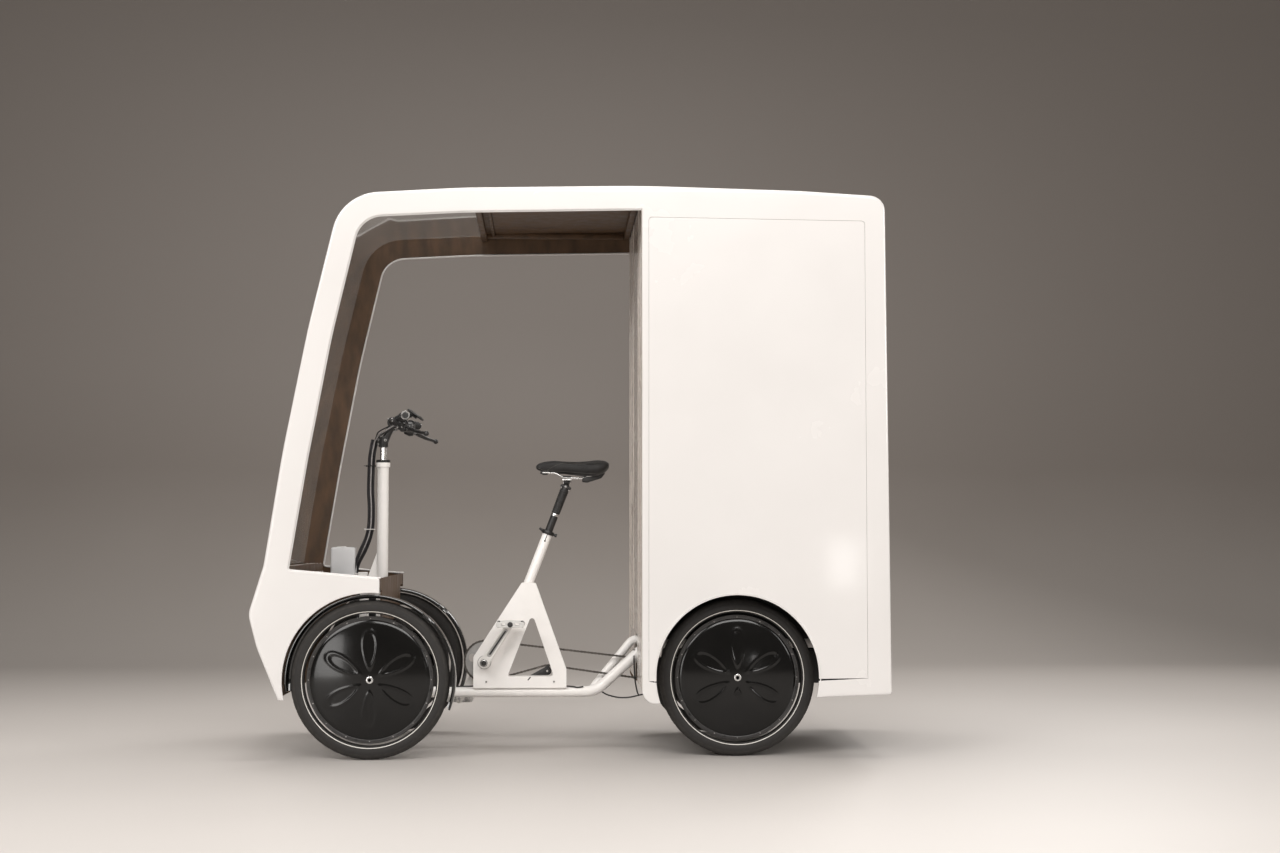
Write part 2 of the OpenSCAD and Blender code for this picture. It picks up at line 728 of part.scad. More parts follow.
// Rim, drilled web and hub
module wheel_body() {
    color(black_c) {
        rotate_extrude($fn = 96) polygon([[rim_r - 8, -14], [rim_r + 3, -16], [rim_r + 3, -13],
            [rim_r - 4, -10], [rim_r - 4, 10], [rim_r + 3, 13], [rim_r + 3, 16], [rim_r - 8, 14]]);
        difference() {
            union() {
                translate([0, 0, -3]) cylinder(h = 6, r = rim_r - 6);
                translate([0, 0, -26]) cylinder(h = 52, r = 30);
            }
            translate([0, 0, -40]) cylinder(h = 80, r = axle_r + run_fit);
            for (i = [0 : 7]) rotate(45 * i) translate([122, 0, -10]) cylinder(h = 20, r = 34);
        }
    }
}

// Domed cover over the outer face, with notches round its edge
function dome_z(r) = cover_dome * (1 - pow(r / cover_r, 2));
module wheel_cover() {
    ring = [0, 40, 80, 115, 145, 170, 186, cover_r];
    color(black_c) difference() {
        rotate_extrude($fn = 96) polygon(concat(
            [for (r = ring) [r, 16.5 + 2.5 + dome_z(r)]],
            [for (i = [7 : -1 : 0]) [ring[i], 16.5 + dome_z(ring[i])]]));
        translate([0, 0, 10]) cylinder(h = 60, r = 16);
        for (i = [0 : 15]) rotate(22.5 * i) translate([cover_r - 3, -16, 0]) cube([20, 32, 30]);
    }
}

// ---------------------------------------------------------------- seat
boot_start = 46;
module seatpost() {
    color(black_c) {
        along_seat(seat_tube_l - 150, 200 + boot_start, post_r);
        along_seat(seat_tube_l + boot_start + 18, 94, 15.5);
        along_seat(seat_tube_l + boot_start + 110, 22, 12);
    }
}

module seat_clamp() {
    color(black_c) difference() {
        union() {
            along_seat(seat_tube_l - 12, 14, 22);
            translate(seat_tube_top) rotate([0, seat_lean, 0]) {
                block(-34, 0, -9, 9, -12, 2);
                block(0, 34, -5, 5, -10, 0);
            }
        }
        along_seat(seat_tube_l - 40, 40.3, 17.6);
        along_seat(seat_tube_l - 40, 80, post_r + 0.3);
    }
}

saddle_low_z = 966;
saddle_nose_x = -131;
saddle_back_x = 138;
rail_half = 22;
head_p = seat_tube_low + (seat_tube_l + boot_start + 132) * seat_dir;
module saddle() {
    color(black_c) translate([0, 0, saddle_low_z])
        linear_extrude(saddle_top_z - saddle_low_z) polygon(rounded([[saddle_nose_x, -22, 18],
            [saddle_nose_x, 22, 18], [-20, 30, 60], [70, 78, 40], [saddle_back_x, 74, 30],
            [saddle_back_x, -74, 30], [70, -78, 40], [-20, -30, 60]]));
}

module saddle_rails() {
    color(silver_c) for (s = [left, right]) {
        rod([-104, s * 12, 962], [-56, s * rail_half, 944], 3.5);
        rod([-60, s * rail_half, 944], [38, s * rail_half, 944], 4);
        rod([34, s * rail_half, 944], [96, s * 34, 962], 3.5);
    }
    color(silver_c) {
        block(head_p[0] - 15, head_p[0] + 17, -30, 30, 936, 953);
        rod(head_p, head_p + 20 * seat_dir, 7.5);
    }
}

// ---------------------------------------------------------------- drive
function pitch_r(teeth) = pitch / (2 * sin(180 / teeth));
ring_r = pitch_r(ring_teeth);
sprocket_r = pitch_r(sprocket_teeth);
link_h = 4;           // half height of a chain plate
roller_gap = 0.6;     // room between the chain and the toothed wheels' discs
idler_x = -84;
idler_z = 256;
idler_r = 20;         // radius of the chain's line over the tensioner wheel

// Angle of the common outside tangent's normal, from wheel a to wheel b, on side s
function tangent_angle(a, b, ra, rb, s) =
    let (v = b - a) atan2(v[1], v[0]) + s * acos((ra - rb) / norm(v));
function arc_pts(c, r, a0, a1, n) =
    [for (i = [0 : n]) c + r * [cos(a0 + (a1 - a0) * i / n), sin(a0 + (a1 - a0) * i / n)]];

crank_c = [crank_x, crank_z];
drive_c = [drive_x, drive_z];
idler_c = [idler_x, idler_z];
top_a = tangent_angle(crank_c, drive_c, ring_r, sprocket_r, 1);
low_v = idler_c - crank_c;
// The lower run crosses from under the chainring to the top of the tensioner wheel
cross_a = atan2(low_v[1], low_v[0]) - acos((ring_r + idler_r) / norm(low_v));
back_v = drive_c - idler_c;
back_a = atan2(back_v[1], back_v[0]) + acos((idler_r + sprocket_r) / norm(back_v));

// Closed band round the chainring, sprocket and tensioner; d widens it outward
function chain_line(d) = concat(
    arc_pts(crank_c, ring_r + d, cross_a + 360, top_a, 30),
    arc_pts(drive_c, sprocket_r + d, top_a, back_a - 180, 14),
    arc_pts(idler_c, idler_r - d, back_a, cross_a + 180, 4));

module chain() {
    color([0.25, 0.24, 0.23]) difference() {
        plate_xz(chain_line(link_h), chain_y - 3.5, chain_y + 3.5);
        plate_xz(chain_line(-link_h), chain_y - 5, chain_y + 5);
    }
}

module tensioner_arm() {
    color(black_c) {
        bent_rod([[-150, cheek_y + 3, 226], [idler_x, cheek_y + 3, idler_z]], 3);
        plate_xz([[-158, 214], [-158, 230], [idler_x - 4, idler_z + 9], [idler_x + 8, idler_z],
            [idler_x - 2, idler_z - 9]], cheek_y, cheek_y + 4);
        rod_y(idler_x, idler_z, cheek_y, chain_y + 8, 4);
    }
}

module tensioner_wheel() {
    color(black_c) difference() {
        rod_y(idler_x, idler_z, chain_y - 4, chain_y + 4, idler_r - link_h - roller_gap);
        rod_y(idler_x, idler_z, 0, 60, 4 + run_fit);
    }
}

crank_arm_y = 66;
function crank_tip(s) = [crank_x - s * crank_l * cos(crank_angle), crank_z - s * crank_l * sin(crank_angle)];
module crank_arm(s) {
    tip = crank_tip(s);
    difference() {
        hull() {
            rod_y(crank_x, crank_z, s * crank_arm_y, s * (crank_arm_y + 13), 17, $fn = 32);
            rod_y(tip[0], tip[1], s * crank_arm_y, s * (crank_arm_y + 13), 13, $fn = 32);
        }
        rod_y(tip[0], tip[1], s * 40, s * 120, 7 + run_fit);
    }
}

module crankset() {
    color(silver_c) {
        rod_y(crank_x, crank_z, -crank_arm_y - 10, crank_arm_y + 10, crank_axle_r);
        rod_y(crank_x, crank_z, chain_y - 4, crank_arm_y, 20);
        for (s = [left, right]) crank_arm(s);
        difference() {
            rod_y(crank_x, crank_z, chain_y - 2, chain_y + 2, ring_r - link_h - roller_gap);
            for (i = [0 : 4]) let (a = 72 * i + 20)
                rod_y(crank_x + 44 * cos(a), crank_z + 44 * sin(a), 0, 60, 15);
        }
    }
}

pedal_in_y = 84;
module pedal(s) {
    tip = crank_tip(s);
    color([0.80, 0.80, 0.78]) {
        rod_y(tip[0], tip[1], s * (crank_arm_y + 1), s * 184, 7);
        difference() {
            translate([tip[0], s * (pedal_in_y + 50), tip[1]]) cube([100, 96, 22], center = true);
            for (x = [left, right])
                block(tip[0] + x * 14, tip[0] + x * 38, s * (pedal_in_y + 14), s * (pedal_in_y + 86), 0, 900);
        }
    }
}

module rear_sprocket() {
    color(silver_c) difference() {
        union() {
            rod_y(drive_x, drive_z, chain_y - 2, chain_y + 2, sprocket_r - link_h - roller_gap);
            rod_y(drive_x, drive_z, chain_y - 10, chain_y + 10, 16);
        }
        rod_y(drive_x, drive_z, 0, 80, 8 + run_fit);
    }
}

main_frame();
seat_frame();
head_column();
front_axle();
rear_axle();
body_side(left);  // body_side_left
body_side(right);  // body_side_right
nose_fascia();
windscreen();
roof_panel();
dash_tray();
reservoir();
cargo_panels();
cargo_bulkhead();
cargo_floor();
wheel_liners();
headlights();
tail_lights();
battery();
chain();
hoses_lower();
seat_clamp();
tensioner_arm();
tensioner_wheel();
cargo_door();
door_hinges();
door_handle();
steerer();
stem();
handlebar();
grips();
display();
lever_brackets();
brake_lever(left);  // brake_lever_left
brake_lever(right);  // brake_lever_right
hoses_upper();
knuckle(left);  // knuckle_left
knuckle(right);  // knuckle_right
tie_rod();
mudguard(left);  // mudguard_left
mudguard(right);  // mudguard_right
wheel_place(front_x, front_wheel_y, left) tyre();  // tyre_front_left
wheel_place(front_x, front_wheel_y, right) tyre();  // tyre_front_right
wheel_place(rear_x, rear_wheel_y, left) tyre();  // tyre_rear_left
wheel_place(rear_x, rear_wheel_y, right) tyre();  // tyre_rear_right
wheel_place(front_x, front_wheel_y, left) wheel_body();  // wheel_front_left
wheel_place(front_x, front_wheel_y, right) wheel_body();  // wheel_front_right
wheel_place(rear_x, rear_wheel_y, left) wheel_body();  // wheel_rear_left
wheel_place(rear_x, rear_wheel_y, right) wheel_body();  // wheel_rear_right
wheel_place(front_x, front_wheel_y, left) wheel_cover();  // cover_front_left
wheel_place(front_x, front_wheel_y, right) wheel_cover();  // cover_front_right
wheel_place(rear_x, rear_wheel_y, left) wheel_cover();  // cover_rear_left
wheel_place(rear_x, rear_wheel_y, right) wheel_cover();  // cover_rear_right
seatpost();
saddle();
saddle_rails();
crankset();
pedal(left);  // pedal_left
pedal(right);  // pedal_right
rear_sprocket();
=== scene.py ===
"""Looks of the roofed cargo cycle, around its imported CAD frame. Lengths are in millimetres until make()."""
from math import acos, atan2, copysign, cos, dist, exp, hypot, pi, radians, sin, tan

import bmesh
import bpy
import numpy as np
from mathutils import Matrix, Vector
from mathutils.bvhtree import BVHTree
from mathutils.geometry import tessellate_polygon


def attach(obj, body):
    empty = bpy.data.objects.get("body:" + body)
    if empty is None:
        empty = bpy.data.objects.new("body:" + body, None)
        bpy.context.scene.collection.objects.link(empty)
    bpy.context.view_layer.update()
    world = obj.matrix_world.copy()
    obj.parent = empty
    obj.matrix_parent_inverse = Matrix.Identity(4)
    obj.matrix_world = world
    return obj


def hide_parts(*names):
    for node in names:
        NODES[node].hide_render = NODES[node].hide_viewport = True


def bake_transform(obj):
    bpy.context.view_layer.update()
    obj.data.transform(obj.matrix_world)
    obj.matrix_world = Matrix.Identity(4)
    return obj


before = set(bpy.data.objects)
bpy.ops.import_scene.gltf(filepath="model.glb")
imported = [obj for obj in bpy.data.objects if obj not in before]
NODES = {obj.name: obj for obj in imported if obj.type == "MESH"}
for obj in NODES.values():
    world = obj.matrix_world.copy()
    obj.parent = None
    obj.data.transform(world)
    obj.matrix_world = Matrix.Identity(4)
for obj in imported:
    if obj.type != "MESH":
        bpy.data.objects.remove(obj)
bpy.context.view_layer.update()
SIDES = (("left", -1), ("right", 1))
CORNERS = (("front_left", -1, -668, 455), ("front_right", 1, -668, 455), ("rear_left", -1, 555, 395),
    ("rear_right", 1, 555, 395))
WHEEL_R = 263.0
HALF = 494.4  # half of the width between the two side mouldings
SHEET = 4.0


# ---------------------------------------------------------------- materials
def feed(nt, shader, inputs):
    """Sets a node's inputs by name; a socket given as the value is linked."""
    for key, value in inputs.items():
        socket = shader.inputs[key.replace("_", " ")]
        if isinstance(value, bpy.types.NodeSocket):
            nt.links.new(value, socket)
        else:
            socket.default_value = value
    return shader


def node(nt, kind, **inputs):
    return feed(nt, nt.nodes.new("ShaderNode" + kind), inputs)


def new_material(name):
    m = bpy.data.materials.new(name)
    m.use_nodes = True
    return m, m.node_tree, m.node_tree.nodes["Principled BSDF"]


def surface(name, color, rough, vary, scale, bump, bump_scale, grain="Noise", metal=0.0, rough_vary=0.05,
        stretch=(1, 1, 1), coat=0.0, coat_rough=0.05, **extra):
    """A procedural material: mottled colour, uneven roughness and a fine bump, all from object coordinates."""
    m, nt, shader = new_material(name)
    place = node(nt, "Mapping", Vector=node(nt, "TexCoord").outputs["Object"],
        Scale=stretch).outputs["Vector"]
    fac = node(nt, "TexNoise", Vector=place, Scale=scale, Detail=6).outputs["Fac"]
    ramp = node(nt, "ValToRGB", Fac=fac)
    for e, k, p in zip(ramp.color_ramp.elements, (1 - vary, 1 + vary), (0.32, 0.68)):
        e.position = p
        e.color = [min(c * k, 1) for c in color] + [1]
    gloss = node(nt, "MapRange", Value=fac, From_Min=0.3, From_Max=0.7,
        To_Min=max(rough - rough_vary, 0.02), To_Max=min(rough + rough_vary, 1.0))
    fine = node(nt, "Tex" + grain, Vector=place, Scale=bump_scale)
    if grain == "Wave":
        fine.bands_direction = "DIAGONAL"
    height = fine.outputs["Distance" if grain == "Voronoi" else "Fac"]
    bumps = node(nt, "Bump", Strength=bump, Distance=0.001, Height=height)
    feed(nt, shader, dict(extra, Base_Color=ramp.outputs["Color"], Roughness=gloss.outputs["Result"],
        Normal=bumps.outputs["Normal"], Metallic=metal, Coat_Weight=coat, Coat_Roughness=coat_rough))
    return m


M = {"white": surface("gelcoat_white", (0.66, 0.64, 0.625), 0.24, 0.012, 3, 0.03, 45, coat=0.6,
    coat_rough=0.08), "powder": surface("powder_white", (0.88, 0.855, 0.83), 0.38, 0.02, 20, 0.08, 1400,
    coat=0.15), "brown": surface("fibre_brown", (0.092, 0.052, 0.027), 0.46, 0.34, 26, 0.25, 420,
    rough_vary=0.12, stretch=(1, 1, 0.35), coat=0.1, coat_rough=0.25, Specular_IOR_Level=0.35),
    "grey_panel": surface("laminate_grey", (0.62, 0.56, 0.51), 0.26, 0.04, 5, 0.05, 200, coat=0.5,
    coat_rough=0.12), "floor_grey": surface("floor_ribbed", (0.16, 0.155, 0.15), 0.75, 0.2, 30, 0.6, 260,
    grain="Voronoi"), "liner": surface("liner_black", (0.02, 0.019, 0.018), 0.7, 0.25, 40, 0.5, 900,
    grain="Voronoi"), "black": surface("black_coat", (0.016, 0.015, 0.015), 0.42, 0.2, 40, 0.12, 1500),
    "black_gloss": surface("guard_black", (0.008, 0.0075, 0.007), 0.16, 0.2, 12, 0.03, 90, coat=0.8,
    coat_rough=0.05), "cover": surface("cover_black", (0.004, 0.0037, 0.0034), 0.13, 0.2, 9, 0.02, 60,
    rough_vary=0.03, coat=0.12, coat_rough=0.04, Specular_IOR_Level=0.3),
    "rim": surface("rim_black", (0.022, 0.02, 0.019), 0.33, 0.15, 30, 0.08, 900),
    "tyre": surface("tyre_rubber", (0.016, 0.0142, 0.013), 0.78, 0.22, 50, 0.35, 1200, rough_vary=0.1),
    "tread": surface("tread_rubber", (0.03, 0.027, 0.0245), 0.88, 0.3, 70, 0.5, 800),
    "reflex": surface("reflex_line", (0.62, 0.6, 0.56), 0.35, 0.05, 60, 0.3, 2500, grain="Voronoi"),
    "silver": surface("polished_aluminium", (0.62, 0.61, 0.6), 0.26, 0.06, 50, 0.05, 1500, metal=1.0),
    "steel": surface("plain_steel", (0.38, 0.37, 0.36), 0.36, 0.12, 60, 0.1, 900, metal=1.0),
    "chain": surface("oiled_chain", (0.12, 0.11, 0.1), 0.38, 0.3, 120, 0.1, 900, metal=0.9),
    "ring_grey": surface("ring_grey", (0.42, 0.41, 0.4), 0.4, 0.1, 40, 0.1, 800, metal=0.6),
    "crank": surface("crank_alloy", (0.72, 0.7, 0.67), 0.36, 0.04, 40, 0.05, 900, metal=0.35),
    "pedal": surface("pedal_plastic", (0.55, 0.54, 0.52), 0.38, 0.06, 40, 0.2, 900),
    "grip": surface("grip_rubber", (0.013, 0.012, 0.012), 0.68, 0.2, 60, 0.5, 900, grain="Voronoi"),
    "rubber": surface("soft_rubber", (0.016, 0.015, 0.0145), 0.6, 0.2, 60, 0.3, 700),
    "sleeve": surface("braided_sleeve", (0.022, 0.02, 0.022), 0.55, 0.3, 120, 0.9, 260, grain="Wave"),
    "cable": surface("cable_jacket", (0.3, 0.285, 0.28), 0.4, 0.15, 80, 0.2, 600),
    "leather": surface("saddle_leather", (0.0065, 0.0056, 0.005), 0.55, 0.18, 45, 0.55, 950,
    rough_vary=0.08, grain="Voronoi", Sheen_Weight=0.15, Sheen_Roughness=0.4),
    "thread": surface("seam_piping", (0.06, 0.055, 0.05), 0.45, 0.2, 200, 0.5, 1800, grain="Wave"),
    "tie": surface("white_tie", (0.62, 0.6, 0.58), 0.4, 0.05, 60, 0.1, 600),
    "screen": surface("screen_clear", (0.97, 0.97, 0.965), 0.03, 0.004, 4, 0.004, 14, rough_vary=0.008,
    Transmission_Weight=1.0, IOR=1.58), "milky": surface("tank_milky", (0.9, 0.9, 0.91), 0.22, 0.03, 12,
    0.1, 90, Transmission_Weight=0.3, IOR=1.3), "lens": surface("lens_clear", (0.95, 0.96, 0.97), 0.05,
    0.01, 30, 0.5, 160, rough_vary=0.02, grain="Wave", Transmission_Weight=0.95, IOR=1.49),
    "mirror": surface("lamp_reflector", (0.8, 0.8, 0.8), 0.1, 0.03, 60, 0.2, 180, metal=1.0,
    grain="Voronoi"), "red": surface("lens_red", (0.36, 0.01, 0.01), 0.14, 0.12, 30, 0.5, 260,
    grain="Voronoi", coat=0.5), "screen_dark": surface("display_glass", (0.01, 0.012, 0.014), 0.1, 0.1, 30,
    0.02, 90, coat=0.8),}


# ---------------------------------------------------------------- mesh builder
def new_object(name, data):
    o = bpy.data.objects.new(name, data)
    bpy.context.scene.collection.objects.link(o)
    return o


def polar(c, r, a):
    """The point at angle a on a circle in the XZ plane."""
    return c[0] + r * cos(a), c[1] + r * sin(a)


def ring_faces(rows, n, closed=False):
    """Quads between rings of n points each."""
    return [(i * n + j, i * n + (j + 1) % n, (i + 1) % rows * n + (j + 1) % n, (i + 1) % rows * n + j)
        for i in range(rows if closed else rows - 1) for j in range(n)]


def end_caps(rows, n):
    return [tuple(range(n))[::-1], tuple((rows - 1) * n + j for j in range(n))]


def unit(v):
    v = np.asarray(v, float)
    return v / max(np.linalg.norm(v), 1e-12)


def side_frame(t):
    """Two unit vectors across direction t."""
    ref = np.array([0, 1, 0.0]) if abs(t[1]) < 0.9 else np.array([0, 0, 1.0])
    u = unit(np.cross(t, ref))
    return u, np.cross(t, u)


def clean(loop, gap=0.02):
    out = []
    for p in loop:
        if not out or dist(p[:2], out[-1][:2]) > gap:
            out.append(p)
    if dist(out[0][:2], out[-1][:2]) <= gap:
        out.pop()
    return out


def area(loop):
    return 0.5 * sum(loop[i - 1][0] * p[1] - p[0] * loop[i - 1][1] for i, p in enumerate(loop))


def offset(loop, amounts):
    """Moves each point of a loop to its left by its own amount, on the mitre line."""
    n, out = len(loop), []
    for i, p in enumerate(loop):
        a, c = loop[i - 1], loop[(i + 1) % n]
        u1, u2 = unit((p[0] - a[0], p[1] - a[1])), unit((c[0] - p[0], c[1] - p[1]))
        n1, n2 = np.array((-u1[1], u1[0])), np.array((-u2[1], u2[0]))
        m = (n1 + n2) / max(1 + float(n1 @ n2), 0.4)
        out.append((p[0] + amounts[i] * m[0], p[1] + amounts[i] * m[1]))
    return out


class Build:
    """Collects vertices and faces in millimetres, each face with a material number."""

    def __init__(self):
        self.v, self.f, self.m = [], [], []

    def add(self, verts, faces, m=0):
        base = len(self.v)
        self.v.extend(tuple(float(c) for c in p) for p in verts)
        self.f.extend([tuple(base + i for i in face) for face in faces])
        self.m.extend([m] * len(faces) if isinstance(m, int) else m)
        return self

    def tube(self, path, r, k=16, m=0, caps=True, squash=1.0):
        path = [np.asarray(p, float) for p in path]
        n = len(path)
        radii = list(r) if hasattr(r, "__len__") else [r] * n
        t0 = unit(path[1] - path[0])
        u, _ = side_frame(t0)
        verts = []
        for i, p in enumerate(path):
            t = unit(path[min(i + 1, n - 1)] - path[max(i - 1, 0)])
            u = unit(u - t * float(u @ t))
            w = np.cross(t, u)
            for j in range(k):
                a = 2 * pi * j / k
                verts.append(p + radii[i] * (u * cos(a) + w * sin(a) * squash))
        return self.add(verts, ring_faces(n, k) + (end_caps(n, k) if caps else []), m)

    def lathe(self, centre, axis, profile, n=48, m=0, closed=False):
        """Revolves (along, radius) points about an axis; open ends that are off the axis get caps."""
        axis = unit(axis)
        u, w = side_frame(axis)
        c = np.asarray(centre, float)
        k = len(profile)
        verts = [c + axis * a + r * (u * cos(2 * pi * i / n) + w * sin(2 * pi * i / n)) for a, r in profile
            for i in range(n)]
        band = [m] * k if isinstance(m, int) else m
        mats = [band[i] for i in range(k if closed else k - 1) for _ in range(n)]
        if closed:
            return self.add(verts, ring_faces(k, n, True), mats)
        return self.add(verts, ring_faces(k, n) + end_caps(k, n), mats + [band[0], band[-1]])

    def prism(self, loops, y0, y1, r=0.0, seg=3, m=0, cap0=None, cap1=None, place=None, both=False):
        """Plate in the XZ plane from y0 (back) to y1 (front), whose front edge is rounded.
        loops[0] is the outline, the others are holes; a point may carry its own edge radius."""
        depth = abs(y1 - y0)
        sgn = 1 if y1 > y0 else -1
        verts, faces, mats, backs, fronts = [], [], [], [], []
        for k, loop in enumerate(loops):
            loop = clean([tuple(p) for p in loop])
            if (area(loop) > 0) != (k == 0):
                loop = loop[::-1]
            rad = [p[2] if len(p) > 2 else r for p in loop]
            n = len(loop)
            levels = []
            if both:
                levels += [(90 - 90 * s / seg, -1) for s in range(seg)]
            levels += [(0, -1)] if both else [(0, -2)]
            levels += [(90 * s / seg, 1) for s in range(seg + 1)] if max(rad) > 0 else [(0, 2)]
            rings = []
            for deg, end in levels:
                a = radians(deg)
                pts = offset(loop, [q * (1 - cos(a)) for q in rad])
                ring = []
                for p, q in zip(pts, rad):
                    dep = min(q, depth * (0.48 if both else 0.96))
                    if end == -2:
                        y = y0
                    elif end == 2:
                        y = y1
                    elif end == 1:
                        y = y1 - sgn * dep * (1 - sin(a))
                    else:
                        y = y0 + sgn * dep * (1 - sin(a))
                    ring.append(len(verts))
                    verts.append((p[0], y, p[1]))
                rings.append(ring)
            for a_, b_ in zip(rings, rings[1:]):
                for j in range(n):
                    faces.append((a_[j], a_[(j + 1) % n], b_[(j + 1) % n], b_[j]))
                    mats.append(m)
            backs.append(rings[0])
            fronts.append(rings[-1])
        for group, mm in ((backs, cap0), (fronts, cap1)):
            polys = [[Vector((verts[i][0], verts[i][2], 0)) for i in ring] for ring in group]
            flat = [i for ring in group for i in ring]
            for t in tessellate_polygon(polys):
                faces.append(tuple(flat[i] for i in t))
                mats.append(m if mm is None else mm)
        if place is not None:
            verts = [tuple(place @ Vector(p)) for p in verts]
        return self.add(verts, faces, mats)

    def box(self, lo, hi, r=1.5, m=0, place=None, seg=2):
        """Box with rounded edges, between two corners."""
        lo, hi = np.minimum(lo, hi), np.maximum(lo, hi)
        bm = bmesh.new()
        bmesh.ops.create_cube(bm, size=1)
        for v in bm.verts:
            v.co = Vector([(lo[i] + hi[i]) / 2 + v.co[i] * (hi[i] - lo[i]) for i in range(3)])
        r = min(r, 0.45 * float(min(hi - lo)))
        bmesh.ops.bevel(bm, geom=list(bm.edges), offset=r, segments=seg, profile=0.5, affect="EDGES")
        if place is not None:
            bmesh.ops.transform(bm, matrix=place, verts=bm.verts)
        bm.verts.index_update()
        self.add([v.co[:] for v in bm.verts], [[v.index for v in f.verts] for f in bm.faces], m)
        bm.free()
        return self

    def bolt(self, p, axis, r=4.0, h=3.0, m=0, socket_shade=None):
        """Socket-head bolt standing on p; when a last material is given, a black disc in its socket is painted
        shade of the socket's depth.
        """
        self.lathe(p, axis, [(0, r), (h * 0.75, r), (h, r * 0.82), (h, r * 0.5), (h * 0.45, r * 0.45)], 14, m)
        # black disc in the socket: painted shade of the socket's depth
        if socket_shade is not None:
            self.lathe(np.asarray(p) + unit(axis) * h * 0.46, axis, [(0, r * 0.44), (h * 0.1, r * 0.40)], 8,
                socket_shade)
        return self

    def make(self, name, mats, body, slot, replaces=(), smooth=38, modifiers=(), ride=True):
        me = bpy.data.meshes.new(name)
        me.from_pydata([(x / 1000, y / 1000, z / 1000) for x, y, z in self.v], [], self.f)
        me.polygons.foreach_set("material_index", self.m)
        me.update()
        bm = bmesh.new()
        bm.from_mesh(me)
        bmesh.ops.remove_doubles(bm, verts=bm.verts, dist=2e-6)
        bmesh.ops.recalc_face_normals(bm, faces=bm.faces)
        bm.to_mesh(me)
        bm.free()
        me.shade_smooth()
        me.set_sharp_from_angle(angle=radians(smooth))
        o = new_object(name, me)
        for key in ([mats] if isinstance(mats, str) else mats):
            me.materials.append(M[key])
        for kind, settings in modifiers:
            mod = o.modifiers.new(kind, kind)
            for a, b in settings.items():
                setattr(mod, a, b)
        if ride:
            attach(o, body)
        if replaces:
            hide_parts(*([replaces] if isinstance(replaces, str) else replaces))
        return o


FLAT = (("WEIGHTED_NORMAL", {"keep_sharp": True}),)


def mirrored(p, s):
    return np.array([p[0], p[1] * s, p[2]], float)


def corner_arc(a, b, c, r, n):
    a, b, c = (np.asarray(p[:2], float) for p in (a, b, c))
    u, v = unit(a - b), unit(c - b)
    half = acos(max(-1, min(1, float(u @ v)))) / 2
    mid = b + unit(u + v) * r / sin(half)
    p, q = b + u * r / tan(half), b + v * r / tan(half)
    a0, a1 = (atan2(w[1] - mid[1], w[0] - mid[0]) for w in (p, q))
    d = (a1 - a0 + pi) % (2 * pi) - pi
    return [tuple(mid + r * np.array([cos(a0 + d * i / n), sin(a0 + d * i / n)])) for i in range(n + 1)]


def rounded(pts, n=14):
    """Outline from corners (x, z, radius, edge radius)."""
    out, k = [], len(pts)
    for i, b in enumerate(pts):
        edge = b[3:4]
        arc = corner_arc(pts[i - 1], b, pts[(i + 1) % k], b[2], n) if b[2] > 0 else [tuple(b[:2])]
        out += [tuple(p) + tuple(edge) for p in arc]
    return out


def bend(points, radius, n=10):
    """3-D path through points, with its corners rounded to a bend radius."""
    pts = [np.asarray(p, float) for p in points]
    out = [pts[0]]
    for a, b, c in zip(pts, pts[1:], pts[2:]):
        u, v = unit(a - b), unit(c - b)
        half = acos(max(-1, min(1, float(u @ v)))) / 2
        reach = min(radius / tan(half), 0.48 * np.linalg.norm(a - b), 0.48 * np.linalg.norm(c - b))
        r = reach * tan(half)
        mid = b + unit(u + v) * r / sin(half)
        e1, e2 = (b + u * reach) - mid, (b + v * reach) - mid
        ang = acos(max(-1, min(1, float(unit(e1) @ unit(e2)))))
        for i in range(n + 1):
            t = i / n
            out.append(mid + (sin((1 - t) * ang) * e1 + sin(t * ang) * e2) / sin(ang))
    return out + [pts[-1]]


def smooth_path(points, steps):
    """Catmull-Rom curve through points."""
    p = [np.asarray(q, float) for q in points]
    n, out = len(p), []
    for i in range(n - 1):
        a, b, c, d = p[max(i - 1, 0)], p[i], p[i + 1], p[min(i + 2, n - 1)]
        for j in range(steps):
            t = j / steps
            out.append(0.5 * (2 * b + (c - a) * t + (2 * a - 5 * b + 4 * c - d) * t * t
                + (3 * b - a - 3 * c + d) * t ** 3))
    return out + [p[-1]]


def circle(c, r, n):
    return [polar(c, r, 2 * pi * i / n) for i in range(n)]


def inside(p, loop):
    hit = False
    for i, b in enumerate(loop):
        a = loop[i - 1]
        if (a[1] > p[1]) != (b[1] > p[1]) and p[0] < (b[0] - a[0]) * (p[1] - a[1]) / (b[1] - a[1]) + a[0]:
            hit = not hit
    return hit


def split_long(loop, longest=60.0):
    out = []
    for i, b in enumerate(loop):
        a = loop[i - 1]
        k = max(1, int(dist(a[:2], b[:2]) / longest))
        out += [tuple(x + (y - x) * j / k for x, y in zip(a, b)) for j in range(1, k)] + [b]
    return out


